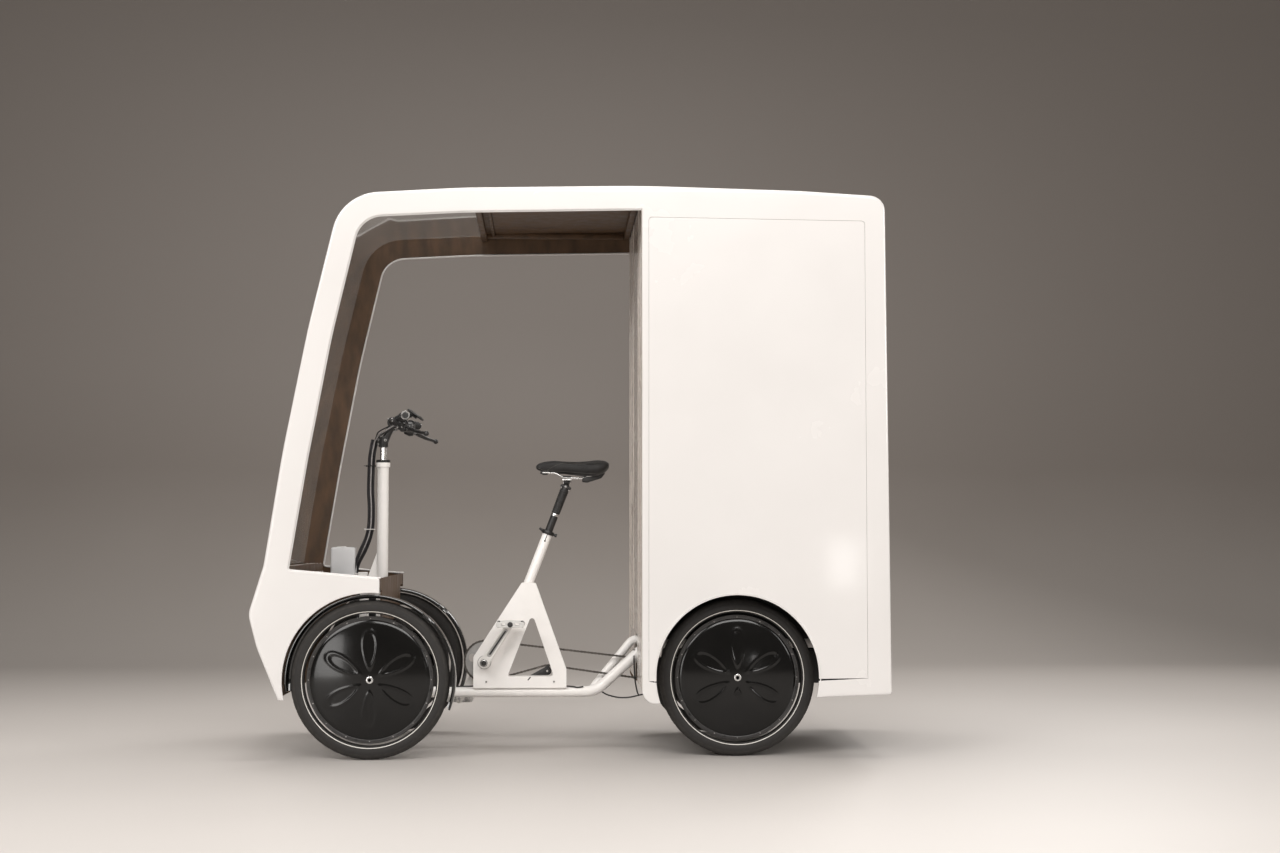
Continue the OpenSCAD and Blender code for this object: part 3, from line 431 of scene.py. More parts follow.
def cut_circle(loop, cx, cz, r, edge, n=72):
    """Takes a circle away from an outline that it crosses twice."""
    c = np.array((cx, cz))
    loop = split_long(loop)
    away = [dist(p[:2], c) > r for p in loop]
    first = next(i for i in range(len(loop)) if away[i] and away[i - 1])
    loop, away = loop[first:] + loop[:first], away[first:] + away[:first]

    def cross(a, b):
        lo, hi = 0.0, 1.0
        start_out = dist(a[:2], c) > r
        for _ in range(40):
            t = (lo + hi) / 2
            q = (a[0] + (b[0] - a[0]) * t, a[1] + (b[1] - a[1]) * t)
            if (dist(q, c) > r) == start_out:
                lo = t
            else:
                hi = t
        return q
    out, enter = [], None
    for i, p in enumerate(loop):
        q, out_p, out_q = loop[(i + 1) % len(loop)], away[i], away[(i + 1) % len(loop)]
        if out_p:
            out.append(p)
        if out_p and not out_q:
            enter = cross(p, q)
        elif out_q and not out_p:
            leave = cross(p, q)
            a0, a1 = (atan2(w[1] - cz, w[0] - cx) for w in (enter, leave))
            for d in ((a1 - a0) % (2 * pi), (a1 - a0) % (2 * pi) - 2 * pi):
                if inside(polar(c, r, a0 + d / 2), loop):
                    out += [polar(c, r, a0 + d * k / n) + (edge,) for k in range(n + 1)]
                    break
    return out


def dress(node, key, bevel=0.0, smooth=35):
    """Keeps a CAD node and gives it a material, and rounds its edges by bevel millimetres."""
    o = NODES[node]
    o.data.materials.clear()
    o.data.materials.append(M[key])
    if bevel:
        w = o.modifiers.new("Weld", "WELD")
        w.merge_threshold = 1e-5
        b = o.modifiers.new("Bevel", "BEVEL")
        b.width = bevel / 1000
        b.segments = 2
        b.limit_method = "ANGLE"
        b.angle_limit = radians(smooth)
        b.harden_normals = True
    return o


# ---------------------------------------------------------------- camera, stage and light
cam = bpy.data.cameras.new("camera")
cam.lens = 53.16
cam.sensor_width = 36
cam.clip_end = 80
camera = new_object("camera", cam)
camera.location = (-0.0726, -6.79, 0.724)
camera.rotation_euler = (radians(93.437), 0, radians(-2.696))
bpy.context.scene.camera = camera


def stage_material():
    """Paper whose colour darkens with height and with depth, painted shade for the falloff of light up the
    wall and away from the lamps; slightly mottled.
    """
    m, nt, shader = new_material("studio_paper")
    at = node(nt, "TexCoord").outputs["Object"]
    axes = node(nt, "SeparateXYZ", Vector=at).outputs
    # Height and depth ramps: painted shade for the falloff of light up the wall and away from the lamps.
    rise = node(nt, "MapRange", Value=axes["Z"], From_Min=0.0, From_Max=3.6)
    back = node(nt, "MapRange", Value=axes["Y"], From_Min=-2.0, From_Max=6.0, To_Max=0.62)
    noise = node(nt, "TexNoise", Vector=at, Scale=0.8, Detail=8)
    both, mottle = node(nt, "Math"), node(nt, "Math")
    both.operation, mottle.operation = "ADD", "MULTIPLY_ADD"
    mottle.inputs[1].default_value = 0.08
    for source, socket in ((rise.outputs["Result"], both.inputs[0]),
            (back.outputs["Result"], both.inputs[1]), (noise.outputs["Fac"], mottle.inputs[0]),
            (both.outputs["Value"], mottle.inputs[2])):
        nt.links.new(source, socket)
    ramp = node(nt, "ValToRGB", Fac=mottle.outputs["Value"])
    ramp.color_ramp.elements[0].color = (0.56, 0.53, 0.505, 1)
    ramp.color_ramp.elements[1].color = (0.20, 0.176, 0.158, 1)
    feed(nt, shader, {"Base Color": ramp.outputs["Color"], "Roughness": 0.55})
    return m


def studio():
    """Pale floor that curves up into a wall behind the vehicle."""
    line = [(-16.0, -0.0005), (-8.0, -0.0005), (4.2, -0.0005)]
    line += [(4.2 + 2.2 * sin(radians(a)), 2.2 * (1 - cos(radians(a))) - 0.0005) for a in range(6, 91, 6)]
    line.append((6.4, 9.0))
    verts = [(x, y, z) for y, z in line for x in (-18.0, 18.0)]
    faces = [(2 * i, 2 * i + 1, 2 * i + 3, 2 * i + 2) for i in range(len(line) - 1)]
    me = bpy.data.meshes.new("studio_floor")
    me.from_pydata(verts, [], faces)
    me.shade_smooth()
    me.materials.append(stage_material())
    new_object("studio_floor", me)


def lamp(name, place, target, size, power, size_y=None):
    d = bpy.data.lights.new(name, "AREA")
    d.shape = "RECTANGLE"
    d.size, d.size_y = size, size_y or size
    d.energy, d.color = power, (1, 0.975, 0.95)
    o = new_object(name, d)
    o.location = place
    o.rotation_euler = (Vector(target) - Vector(place)).to_track_quat("-Z", "Y").to_euler()


studio()
lamp("key_soft", (-3.6, -5.2, 4.4), (-0.2, 0, 0.7), 3.4, 270)
lamp("side_card", (-2.7, -5.6, 0.75), (-0.4, -0.4, 0.6), 1.1, 34, size_y=1.6)
lamp("front_soft", (0.9, -6.6, 4.3), (-0.2, 0, 0.7), 4.0, 210, size_y=2.0)
lamp("fill_soft", (5.0, -5.0, 2.4), (0.3, 0, 0.8), 2.2, 130)
lamp("top_soft", (0.0, 0.6, 5.2), (0, 0, 0.6), 4.2, 250)
lamp("rear_rim", (3.0, 4.0, 3.2), (0.6, 0, 0.8), 1.6, 70)
lamp("low_card", (1.745, -5.9, 0.58), (0.9, -0.5, 0.55), 0.18, 1.1, size_y=0.28)
world = bpy.data.worlds.new("studio_air")
world.use_nodes = True
world.node_tree.nodes["Background"].inputs["Color"].default_value = (0.30, 0.28, 0.26, 1)
world.node_tree.nodes["Background"].inputs["Strength"].default_value = 0.55
bpy.context.scene.world = world
bpy.context.scene.view_settings.view_transform = "Standard"

# ---------------------------------------------------------------- body shell
NOSE_X, TAIL_X = -1064.0, 1064.0
NOSE_DRAW = 0.034 * 70
BOX_X = 231.0
# Corners of the side view: (x, z, corner radius)
BODY = [(NOSE_X + 98, 198, 6), (NOSE_X + 26, 372, 300), (NOSE_X - NOSE_DRAW, 480, 70),
    (NOSE_X + 46, 640, 70), (NOSE_X + 104, 1015, 3000), (NOSE_X + 184, 1430, 3000),
    (NOSE_X + 289, 1878, 160), (NOSE_X + 691, 1902.5, 3000), (NOSE_X + 1288, 1914, 5000),
    (NOSE_X + 1823, 1901, 3000), (TAIL_X - 11, 1884, 52), (TAIL_X, 210, 10), (BOX_X, 180, 45)]
OPENING = [(BOX_X, 180, 45), (BOX_X, 1835, 0), (-373, 1822, 2500), (-712, 1803, 95), (-805, 1400, 2500),
    (-880, 990, 2500), (-939, 625, 8), (-637, 598, 10), (-637, 300, 0), (-760, 198, 0)]
SIDE_OUT = 499.2
EDGE_OUT, EDGE_IN, EDGE_FINE = 9.0, 4.0, 0.8
# Wheel arches: (x, z, radius)
REAR_ARCH = (549.0, 270.0, 271.0)
FRONT_ARCH = (-668.0, WHEEL_R, 286.0)
PANEL = [(BOX_X + 22, 256, 0), (BOX_X + 22, 1808, 12), (984, 1800, 12), (984, 264, 0)]


def side_loop():
    loop = rounded([p + (EDGE_OUT,) for p in BODY[:12]] + [p + (EDGE_IN,) for p in OPENING])
    loop = cut_circle(loop, *FRONT_ARCH, 3.0)
    loop = cut_circle(loop, *REAR_ARCH, 3.0)
    hole = rounded([p + (EDGE_FINE,) for p in PANEL])
    low = 262.0
    on_arch = [abs(dist(p[:2], REAR_ARCH[:2]) - REAR_ARCH[2]) < 0.2 and p[1] > low for p in loop]
    first, last = on_arch.index(True), len(loop) - 1 - on_arch[::-1].index(True)
    right_first = loop[first][0] > loop[last][0]
    path = sorted_hole(hole, right_first)
    return loop[:first] + path + loop[last + 1:]


def sorted_hole(hole, right_first):
    """The recess's outline from one lower corner round to the other."""
    k = min(range(len(hole)), key=lambda i: (hole[i][1] > 300, -hole[i][0] if right_first else hole[i][0]))
    ring = hole[k:] + hole[:k]
    if abs(ring[1][0] - ring[0][0]) > 100 and ring[1][1] < 300:
        ring = [ring[0]] + ring[1:][::-1]
    return ring


def body_sides():
    loop = side_loop()
    inner = cut_circle(rounded([(BOX_X + 22.6, 256.6, 0, 0.7), (BOX_X + 22.6, 1807.4, 11.6, 0.7),
        (983.4, 1799.4, 11.6, 0.7), (983.4, 264.6, 0, 0.7)]), *REAR_ARCH, 0.7)
    for name, s in SIDES:
        b = Build()
        b.prism([loop], s * 495, s * SIDE_OUT, r=4, seg=4, m=0, cap0=1)
        lip = [(REAR_ARCH[0] + (REAR_ARCH[2] + 5.5) * cos(radians(a)), s * (SIDE_OUT - 0.6), REAR_ARCH[1]
            + (REAR_ARCH[2] + 5.5) * sin(radians(a))) for a in range(-14, 195, 4)]
        b.tube(lip, [1.4 if 0 < i < len(lip) - 1 else 0.4 for i in range(len(lip))], 8, 0)
        edge = rounded(OPENING[1:8], 20)
        first = next(i for i, p in enumerate(edge) if dist(p[:2], OPENING[1][:2]) < 1)
        edge = edge[first:] + edge[:first]
        edge = [q for a, c in zip(edge, edge[1:]) for q in [(a[0] + (c[0] - a[0]) * t, a[1] + (c[1] - a[1])
            * t) for t in np.linspace(0, 1, 5)[:-1]]] + [edge[-1]]
        b.tube([(x, s * 491.2, z) for x, z in edge], 3.6, 10, 0)
        b.box((1016, s * 481, 324), (1039, s * 495.2, 1804), 3, 0)
        b.box((1036, s * 488.4, 324), (1046, s * 495.2, 1804), 1, 0)
        b.make("side_shell_" + name, ["white", "brown"], "root", "body_white", "body_side_" + name,
            modifiers=FLAT)
    b = Build()
    for _, s in SIDES:
        b.prism([inner], s * 494.4, s * (SIDE_OUT - 0.5), r=0.7, seg=3, m=0, cap0=1)
    b.make("cargo_side_panels", ["white", "grey_panel"], "root", "body_white", "cargo_panels", modifiers=FLAT)


def outline_run():
    """Points of the body's outline from the nose over the roof to the tail."""
    pts = [p[:2] for p in rounded(BODY, 20)]
    start = min(range(len(pts)), key=lambda i: (pts[i][0] > -900, pts[i][1]))
    pts, out = pts[start:] + pts[:start], []
    for a, b in zip(pts, pts[1:]):
        for t in np.linspace(0, 1, 6 if dist(a, b) > 60 else 2)[:-1]:
            out.append((a[0] + (b[0] - a[0]) * t, a[1] + (b[1] - a[1]) * t))
    return out[:next(i for i, p in enumerate(out) if p[0] > 1000 and p[1] < 1200) + 1]


RUN = outline_run()


def between(test):
    """The stretch of RUN for which test holds, with its ends found exactly."""
    inside_pts = [i for i, p in enumerate(RUN) if test(p)]
    lo, hi = inside_pts[0], inside_pts[-1]
    out = list(RUN[lo:hi + 1])

    def end(a, b):
        for _ in range(40):
            q = ((a[0] + b[0]) / 2, (a[1] + b[1]) / 2)
            a, b = (q, b) if test(q) else (a, q)
        return a
    if lo > 0:
        out.insert(0, end(RUN[lo], RUN[lo - 1]))
    if hi < len(RUN) - 1:
        out.append(end(RUN[hi], RUN[hi + 1]))
    return clean(out, 0.5)


def open_offset(line, d):
    out = []
    for i, p in enumerate(line):
        a, c = line[max(i - 1, 0)], line[min(i + 1, len(line) - 1)]
        t = unit((c[0] - a[0], c[1] - a[1]))
        out.append((p[0] + d * t[1], p[1] - d * t[0]))
    return out


def wrap(line, m_in):
    """Sheet that follows a side-view line across the whole width, with its own inner material."""
    b, n = Build(), len(line)
    verts = [(x, y, z) for row in (line, open_offset(line, SHEET)) for y in (-HALF, HALF) for x, z in row]
    faces, mats = [], []
    for p, q, m in ((0, n, 0), (2 * n, 3 * n, m_in), (0, 2 * n, 0), (n, 3 * n, 0)):
        faces += [(p + i, p + i + 1, q + i + 1, q + i) for i in range(n - 1)]
        mats += [m] * (n - 1)
    faces += [(i, n + i, 3 * n + i, 2 * n + i) for i in (0, n - 1)]
    return b.add(verts, faces, mats + [0, 0])


def shells():
    nose = wrap(between(lambda p: 203 < p[1] < 640 and p[0] < -800), 1)
    nose = nose.make("nose_shell", ["white", "brown"], "root", "body_white", "nose_fascia")
    cutter = Build()
    for s in (-1, 1):
        cutter.lathe((-1100, s * 300, 452), (1, 0, 0), [(0, 47), (160, 47)], 64)
    me = bpy.data.meshes.new("lamp_cut")
    me.from_pydata([tuple(c / 1000 for c in v) for v in cutter.v], [], cutter.f)
    cut = new_object("lamp_cut", me)
    mod = nose.modifiers.new("holes", "BOOLEAN")
    mod.object, mod.solver, mod.operation = cut, "EXACT", "DIFFERENCE"
    bpy.context.view_layer.update()
    done = bpy.data.meshes.new_from_object(nose.evaluated_get(bpy.context.evaluated_depsgraph_get()))
    nose.modifiers.remove(mod)
    nose.data = done
    bpy.data.objects.remove(cut)
    done.set_sharp_from_angle(angle=radians(38))

    screen = wrap(between(lambda p: p[1] > 641 and p[0] < -344), 0)
    screen.make("windscreen_sheet", ["screen"], "root", "screen_clear", "windscreen", smooth=30)

    b = wrap(between(lambda p: p[0] > -343 and p[1] > 1804), 1)
    for x, w, z0, z1 in ((-343, 22, 1877, 1900), (-302, 12, 1889, 1902), (BOX_X - 24, 22, 1888, 1909)):
        b.box((x, -HALF, z0), (x + w, HALF, z1), 3, 1)
    for y in (-470, -455, 455, 470):
        b.box((-338, y - 3, 1884), (BOX_X - 26, y + 3, 1902), 1.5, 1)
    b.make("roof_shell", ["white", "brown"], "root", "body_white", "roof_panel")


# ---------------------------------------------------------------- wheels
def wheel_point(x, y, s):
    """Gives a function from radius, angle and height over the level y to a point of that wheel."""
    def point(r, a, up=0.0):
        return x + r * cos(a), s * (y + up), WHEEL_R + r * sin(a)
    return point


def tread_lift(i, deg):
    """Height of the tread: a notched centre rib, two grooves, then slanted lugs."""
    if deg <= 6:
        return 0.75 if i % 8 else 0.1
    if deg <= 12:
        return -0.9
    return 0.75 if (i / 4 + deg / 20.0) % 1 < 0.55 else -0.35


TREAD_DEG = 66


def tyre(corner, point):
    section, n = range(-132, 133, 6), 384
    verts, faces, mats, k = [], [], [], len(section)
    for i in range(n):
        for deg in section:
            a = radians(deg)
            lift = tread_lift(i, abs(deg)) if abs(deg) <= TREAD_DEG else 0.0
            verts.append(point(236 + 26.2 * cos(a) + lift, 2 * pi * i / n, 26.6 * sin(a)))
            mats.append(1 if -TREAD_DEG <= deg < TREAD_DEG else (2 if 114 <= deg < 120 else 0))
        q = (i + 1) % n
        faces += [(i * k + j, q * k + j, q * k + (j + 1) % k, i * k + (j + 1) % k) for j in range(k)]
    Build().add(verts, faces, mats).make("tyre_" + corner + "_ribbed", ["tyre", "tread", "reflex"], corner
        + "_wheel", "tyre", "tyre_" + corner, smooth=34)


def petal(r, t):
    """Height of the pressed outlines of six petals, in millimetres."""
    h = 0.0
    for k in range(6):
        a = t - radians(60 * k + 30)
        u, v = r * cos(a) - 102, r * sin(a)
        if u > -70 and abs(v) < 40:
            e = hypot(u / 58, v / (21 + 0.10 * u))
            h += 1.2 * exp(-((e - 1) / 0.15) ** 2) - 0.7 / (1 + exp((e - 0.9) / 0.06))
    return h


def cover_height(r, t):
    """Height of the dome with its relief and its rolled edge."""
    drop = 0.0 if r <= 186 else 1.6 * ((r - 186) / 10) ** 2
    return 18.6 + 17 * (1 - (r / 196) ** 2) + (petal(r, t) if 30 < r < 178 else 0.0) - drop


def cover(corner, s, x, y, point):
    """Domed cover, and the ring of slots and nubs round its edge; the slots are black boxes on the ring,
    painted shade for openings that are not cut.
    """
    n, body = 216, corner + "_wheel"
    radii = [14] + list(np.linspace(17, 186, 44)) + [190, 193, 195, 196]
    turns = [2 * pi * i / n for i in range(n)]
    verts = [point(r, t, cover_height(r, t)) for r in radii for t in turns]
    verts += [point(r, t, up) for r, up in ((196, 14.5), (190, 13.5), (14, 30)) for t in turns]
    Build().add(verts, ring_faces(len(radii) + 3, n, True)).make("cover_" + corner + "_dome", ["cover"],
        body, "cover_black", "cover_" + corner, smooth=50)
    c, out = (x, s * y, WHEEL_R), (0, s, 0)
    b = Build()
    b.lathe(c, out, [(12.5, 196.4), (15.6, 197), (16.4, 199), (16.4, 204.5), (17.2, 205.6), (17.2, 208.6),
        (15.4, 209.4), (12.5, 209.4)], 128, 0, closed=True)
    # Slots: black (liner) boxes on the ring's face, painted shade for openings that are not cut.
    for i in range(16):
        for j in range(7):
            a, e = (radians(22.5 * i + 3.2 + 2.3 * (j + k)) for k in (0, 1))
            q = [point(r, w, h) for h in (16.0, 16.7) for r, w in ((199.4, a), (204.0, a), (204.0, e),
                (199.4, e))]
            b.add(q, [(0, 1, 2, 3), (4, 5, 6, 7), (0, 1, 5, 4), (1, 2, 6, 5), (2, 3, 7, 6), (3, 0, 4, 7)], 1)
        b.bolt(point(201.6, radians(22.5 * i), 16.2), out, 2.3 if i % 2 else 1.8, 1.6, 2)
    b.make("rim_ring_" + corner, ["rim", "liner", "steel"], body, "rim_black", smooth=30)
    b = Build()
    b.lathe(c, out, [(28, 15.6), (33.4, 15.6), (34.6, 14.4), (34.6, 12.6)], 40, 0)
    b.lathe(c, out, [(33, 12.2), (36.0, 11.6), (36.8, 9.6), (36.4, 6.4), (34.2, 5.6)], 36, 1)
    # A black (liner) disc in the hub bolt's socket: painted shade of the socket's depth.
    b.lathe(c, out, [(34.0, 5.6), (34.6, 5.2)], 6, 2)
    b.make("hub_bolt_" + corner, ["cover", "silver", "liner"], body, "silver", smooth=35)


def wheels():
    for corner, s, x, y in CORNERS:
        point = wheel_point(x, y, s)
        tyre(corner, point)
        cover(corner, s, x, y, point)
        dress("wheel_" + corner, "rim", 0.8)
        b = Build()
        b.tube([point(204, 2.2, 4), point(170, 2.2, 4)], 3.2, 12, 0)
        b.lathe((x, s * (y - 27), WHEEL_R), (0, -s, 0), [(0, 80), (2.2, 80), (2.2, 34), (0, 34)], 64, 1, True)
        for i in range(6):
            b.bolt(point(26, radians(60 * i), -26), (0, -s, 0), 3, 3, 1)
        b.make("valve_and_disc_" + corner, ["rubber", "steel"], corner + "_wheel", "steel")


# Section of a front mudguard: (level y, radius from the axle)
GUARD = ((422, 269), (422, 278), (423.2, 281), (426, 282.6), (430, 283), (485, 283), (488, 282.2),
    (489, 280), (489, 276.6), (487.6, 276.2), (487, 278.4), (485, 279.4), (430, 279.4), (426.6, 278),
    (425.2, 275), (425, 269))


def guard_sweep(b, point, a0, a1, drop, n):
    """Carries the guard's section round the wheel; it narrows at both ends."""
    verts, k = [], len(GUARD)
    for i in range(n + 1):
        pinch = 1 - 0.10 * max(0, 3 - min(i, n - i))
        a = radians(a0 + (a1 - a0) * i / n)
        verts += [point(r - drop, a, (y - 455) * pinch) for y, r in GUARD]
    b.add(verts, ring_faces(n + 1, k) + [face[::-1] for face in end_caps(n + 1, k)])


def front_guards():
    for name, s in SIDES:
        b, point = Build(), wheel_point(-668, 455, s)
        guard_sweep(b, point, 44, 188, 2.2, 70)
        guard_sweep(b, point, -21, 48, 0, 40)
        for a in [radians(deg) for deg in (52, 62, 118, 128)]:
            b.bolt(point(278.4, a, -15), (cos(a), 0, sin(a)), 4.5, 2.2, 1)
        b.make("guard_" + name, ["black_gloss", "steel"], "knuckle_" + name, "guard_black", "mudguard_"
            + name, smooth=30)
        dress("knuckle_" + name, "black", 1.2)


# ---------------------------------------------------------------- frame
def weld(b, p, axis, r):
    b.lathe(p, axis, [(-2.4, r + 0.1), (-1.2, r + 1.1), (0, r + 1.5), (1.2, r + 1.1), (2.4, r + 0.1)], 32, 0)


DRESSED = (("tie_rod", "silver", 0.6), ("front_axle", "black", 1.2), ("seat_frame", "powder", 2.2),
           ("head_column", "powder", 1.6), ("rear_axle", "black", 1.5), ("battery", "black", 5),
           ("cargo_bulkhead", "grey_panel", 1.2), ("cargo_floor", "floor_grey", 1.0),
           ("wheel_liners", "liner", 0.8), ("dash_tray", "brown", 1.0), ("door_hinges", "steel", 0.6),
           ("steerer", "silver", 0.5), ("steerer", "silver", 0.5))  # the second pass welds and bevels again by the same width


def chassis():
    for node_name, key, bevel in DRESSED:
        dress(node_name, key, bevel)
    b = Build()
    main = bend([(-650.5, 0, 185), (88, 0, 185), (288, 0, 365), (1000, 0, 365)], 95, 14)
    b.tube(main, 19, 32)
    b.tube(bend([(76, 6, 185), (76, 75, 187), (222, 75, 365), (308, 75, 365)], 34, 10), 15, 28)
    for s in (-1, 1):
        b.tube([(308, s * 150, 365), (1000, s * 150, 365)], 19, 28)
        b.lathe((999, s * 150, 365), (1, 0, 0), [(0, 19), (2, 19), (3.4, 17), (3.4, 4)], 28, 1)
    for x in (308, 640, 996):
        b.tube([(x, -168, 365), (x, 168, 365)], 16, 28)
        for y in (-130, 130):
            weld(b, (x, y, 365), (0, 1, 0), 16)
    weld(b, (76, 20, 185), (0, 1, 0), 15)
    b.lathe((-650.2, 0, 185), (-1, 0, 0), [(0, 19), (0.3, 18), (0.3, 5)], 28, 1)
    b.make("frame_tubes", ["powder", "liner"], "root", "frame_white", "main_frame", smooth=40)

    b = Build()
    weld(b, (-171 + 0.3584 * 58, 0, 520 + 0.9336 * 58), (0.3584, 0, 0.9336), 17.6)
    for s in (-1, 1):
        b.tube([(x, s * 17.2, 197.4) for x in np.linspace(-340, -22, 24)], 2.3, 8)
    b.make("frame_welds", ["powder"], "root", "frame_white")
    b = Build()
    for s in (-1, 1):
        b.lathe((-307, s * 28, 291), (0, s, 0), [(0, 24), (3, 24), (5.5, 21.5), (5.8, 14)], 40, 1)
    # A black (liner) slot here, and a slit and a small hole on the seat tube: painted shade for openings that
    # are not cut.
    turn = Matrix.Translation((-148, -28.2, 233)) @ Matrix.Rotation(radians(-50), 4, "Y")
    b.box((-7.5, -0.6, -2), (7.5, 0.8, 2), 0.5, 0, turn)
    for x, z in ((-300, 222), (-60, 222)):
        b.bolt((x, -28, z), (0, -1, 0), 3.4, 2.0, 2, 0)
    along = Vector((0.3584, 0, 0.9336))
    top = Vector((-171, 0, 520)) + along * 252
    slit = Matrix.Translation(top - along * 20) @ Matrix.Rotation(radians(21), 4, "Y")
    b.box((-1.3, -18.1, -16), (1.3, -16.0, 12), 0.5, 0, slit)
    b.lathe(np.array(top - along * 37) + np.array([0, -16.6, 0]), (0, -1, 0), [(0, 3.2), (1.4, 3.2)], 16, 0)
    b.make("frame_fittings", ["liner", "ring_grey", "steel"], "root", "steel")

    b = Build()
    for s in (-1, 1):
        for y in (470, 330, 190):
            b.box((230.2, s * (y - 9), 400), (232.4, s * (y + 9), 1894), 0.9, 0)
        b.box((229.4, s * 484, 228), (232.4, s * 494, 1896), 1.2, 0)
    b.make("bulkhead_ribs", ["grey_panel"], "root", "panel_grey")

    b = Build()
    for y in range(-480, 481, 60):
        b.bolt((-973, y, 635), (0, 0, 1), 4.0, 1.6, 0)
        b.bolt((-941, y, 604), (1, 0, 0), 4.0, 1.6, 0)
    for x in (-1000, -985, -962, -950):
        for s in (-1, 1):
            b.bolt((x, s * 486, 635), (0, 0, 1), 3.0, 1.6, 0)
    for z in (420, 470, 545, 585):
        for x in (-728, -742):
            b.bolt((x, -20, z), (0, -1, 0), 3.6, 2.4, 1, 2)
            b.bolt((x, 20, z), (0, 1, 0), 3.6, 2.4, 1, 2)
    b.lathe((-672, 0, 984), (0, 0, 1), [(0, 24.6), (0.4, 25), (15, 25), (16, 24), (16, 15)], 40, 3)
    b.make("column_bolts", ["tie", "steel", "liner", "powder"], "root", "steel")

    b = Build()
    b.box((-850, -60, 571), (-764, 20, 699), 9, 0, seg=3)
    b.lathe((-815, -20, 699), (0, 0, 1), [(0, 17), (1, 17), (3, 16), (3, 6)], 32, 1)
    b.box((-846, -56, 573), (-768, 16, 640), 7, 2, seg=3)
    b.box((-764, -48, 600), (-757.5, 8, 606), 1, 1)
    b.make("tank_body", ["milky", "tie", "milky"], "root", "reservoir", "reservoir")


# ---------------------------------------------------------------- lamps and doors
def lamps():
    b = Build()
    g = Build()
    for s in (-1, 1):
        c = (-1057, s * 300, 452)
        b.lathe(c, (-1, 0, 0), [(-52, 20), (-46, 30), (-20, 40), (0, 44.4), (1, 46.2), (2.2, 46.2),
            (2.6, 43.4), (0, 42)], 56, [0, 1, 1, 0, 0, 0, 0, 0])
        b.lathe((-1050, s * 300, 452), (-1, 0, 0), [(-36, 8), (-30, 28), (-10, 40), (-1, 43.4), (-4, 42),
            (-33, 20)], 48, 1)
        b.lathe((-1050, s * 300, 452), (-1, 0, 0), [(-34, 9), (-16, 9), (-12, 5)], 24, 1)
        g.lathe(c, (-1, 0, 0), [(-3, 42.6), (0, 42.6), (2.6, 34), (3.8, 18), (4.1, 2)], 56, 0)
    b.make("lamp_bodies", ["black", "mirror"], "root", "lamp_clear", "headlights")
    g.make("lamp_lenses", ["lens"], "root", "lamp_clear")
    b = Build()
    for s in (-1, 1):
        c = (1034, s * 400, 268)
        b.lathe(c, (1, 0, 0), [(0, 30), (0, 35), (24, 35), (26.5, 33.6), (26.8, 31), (24.5, 30.4)], 48, 1)
        b.lathe(c, (1, 0, 0), [(18, 30.6), (25, 30.4), (28.2, 20), (28.8, 8), (28.9, 1)], 48, 0)
    b.make("tail_lamps", ["red", "black"], "root", "lamp_red", "tail_lights")


def door():
    place = Matrix(((0, 1, 0, 0), (1, 0, 0, 0), (0, 0, 1, 0), (0, 0, 0, 1)))
    b = Build()
    out = rounded([(-478, 330, 10), (-478, 1798, 10), (471, 1798, 10), (471, 330, 10)], 6)
    b.prism([out], 1020, 1043.6, r=4, seg=4, m=0, cap0=1, place=place)
    for z0, z1 in ((392, 980), (1120, 1736)):
        ridge = rounded([(-400, z0, 30), (-400, z1, 30), (395, z1, 30), (395, z0, 30)], 8)
        hole = rounded([(-388, z0 + 12, 20), (-388, z1 - 12, 20), (383, z1 - 12, 20), (383, z0 + 12, 20)], 8)
        b.prism([ridge, hole], 1040, 1044.4, r=2.4, seg=3, m=0, place=place)
    for z in (480, 1060, 1640):
        b.box((1044, 430, z), (1047, 478, z + 40), 1, 2)
        b.lathe((1047, 480, z + 0.3), (0, 0, 1), [(0, 5.6), (0.6, 6.4), (38.8, 6.4), (39.4, 5.6)], 24, 2)
        for y in (440, 458):
            b.bolt((1047, y, z + 20), (1, 0, 0), 4, 2, 2)
    b.make("rear_door", ["white", "grey_panel", "steel"], "cargo_door", "body_white", "cargo_door",
        modifiers=FLAT)
    b = Build()
    b.tube([(1013.5, -430, 1052), (1052, -430, 1052)], 5.9, 16, 1)
    b.lathe((1045, -430, 1052), (1, 0, 0), [(0, 21), (4, 21), (6, 19), (6.4, 12)], 36, 0)
    b.box((1050, -442, 944), (1060, -418, 1066), 4.5, 0, seg=4)
    b.box((1013.5, -458, 1044), (1018, -422, 1060), 1, 1)
    b.bolt((1058.6, -430, 1052), (1, 0, 0), 5, 1.3, 1)
    b.make("door_lever", ["black", "steel"], "door_handle", "black_metal", "door_handle")


# ---------------------------------------------------------------- drive
CRANK, DRIVE, IDLER = np.array((-307.0, 291.0)), np.array((350.0, 250.0)), np.array((-84.0, 256.0))
PITCH = 12.7
RING_R, COG_R, IDLER_R = PITCH / (2 * sin(pi / 36)), PITCH / (2 * sin(pi / 18)), 20.0
CHAIN_Y = 40.0


def arc(c, r, a0, a1, n):
    return [c + r * np.array(polar((0, 0), 1, a0 + (a1 - a0) * i / n)) for i in range(n + 1)]


def chain_path():
    v, low, back = DRIVE - CRANK, IDLER - CRANK, DRIVE - IDLER
    top = atan2(v[1], v[0]) + acos((RING_R - COG_R) / np.linalg.norm(v))
    cross = atan2(low[1], low[0]) - acos((RING_R + IDLER_R) / np.linalg.norm(low))
    tail = atan2(back[1], back[0]) + acos((IDLER_R + COG_R) / np.linalg.norm(back))
    return (arc(CRANK, RING_R, cross + 2 * pi, top, 240) + arc(DRIVE, COG_R, top, tail - pi, 90)
        + arc(IDLER, IDLER_R, tail, cross + pi, 30))


def chain_pins():
    path = chain_path()
    path.append(path[0])
    steps = [np.linalg.norm(b - a) for a, b in zip(path, path[1:])]
    total = sum(steps)
    count = 2 * round(total / PITCH / 2)
    at = np.concatenate(([0], np.cumsum(steps)))
    xs, zs = [p[0] for p in path], [p[1] for p in path]
    return [np.array((np.interp(q, at, xs), np.interp(q, at, zs))) for q in np.arange(count) * total
        / count]


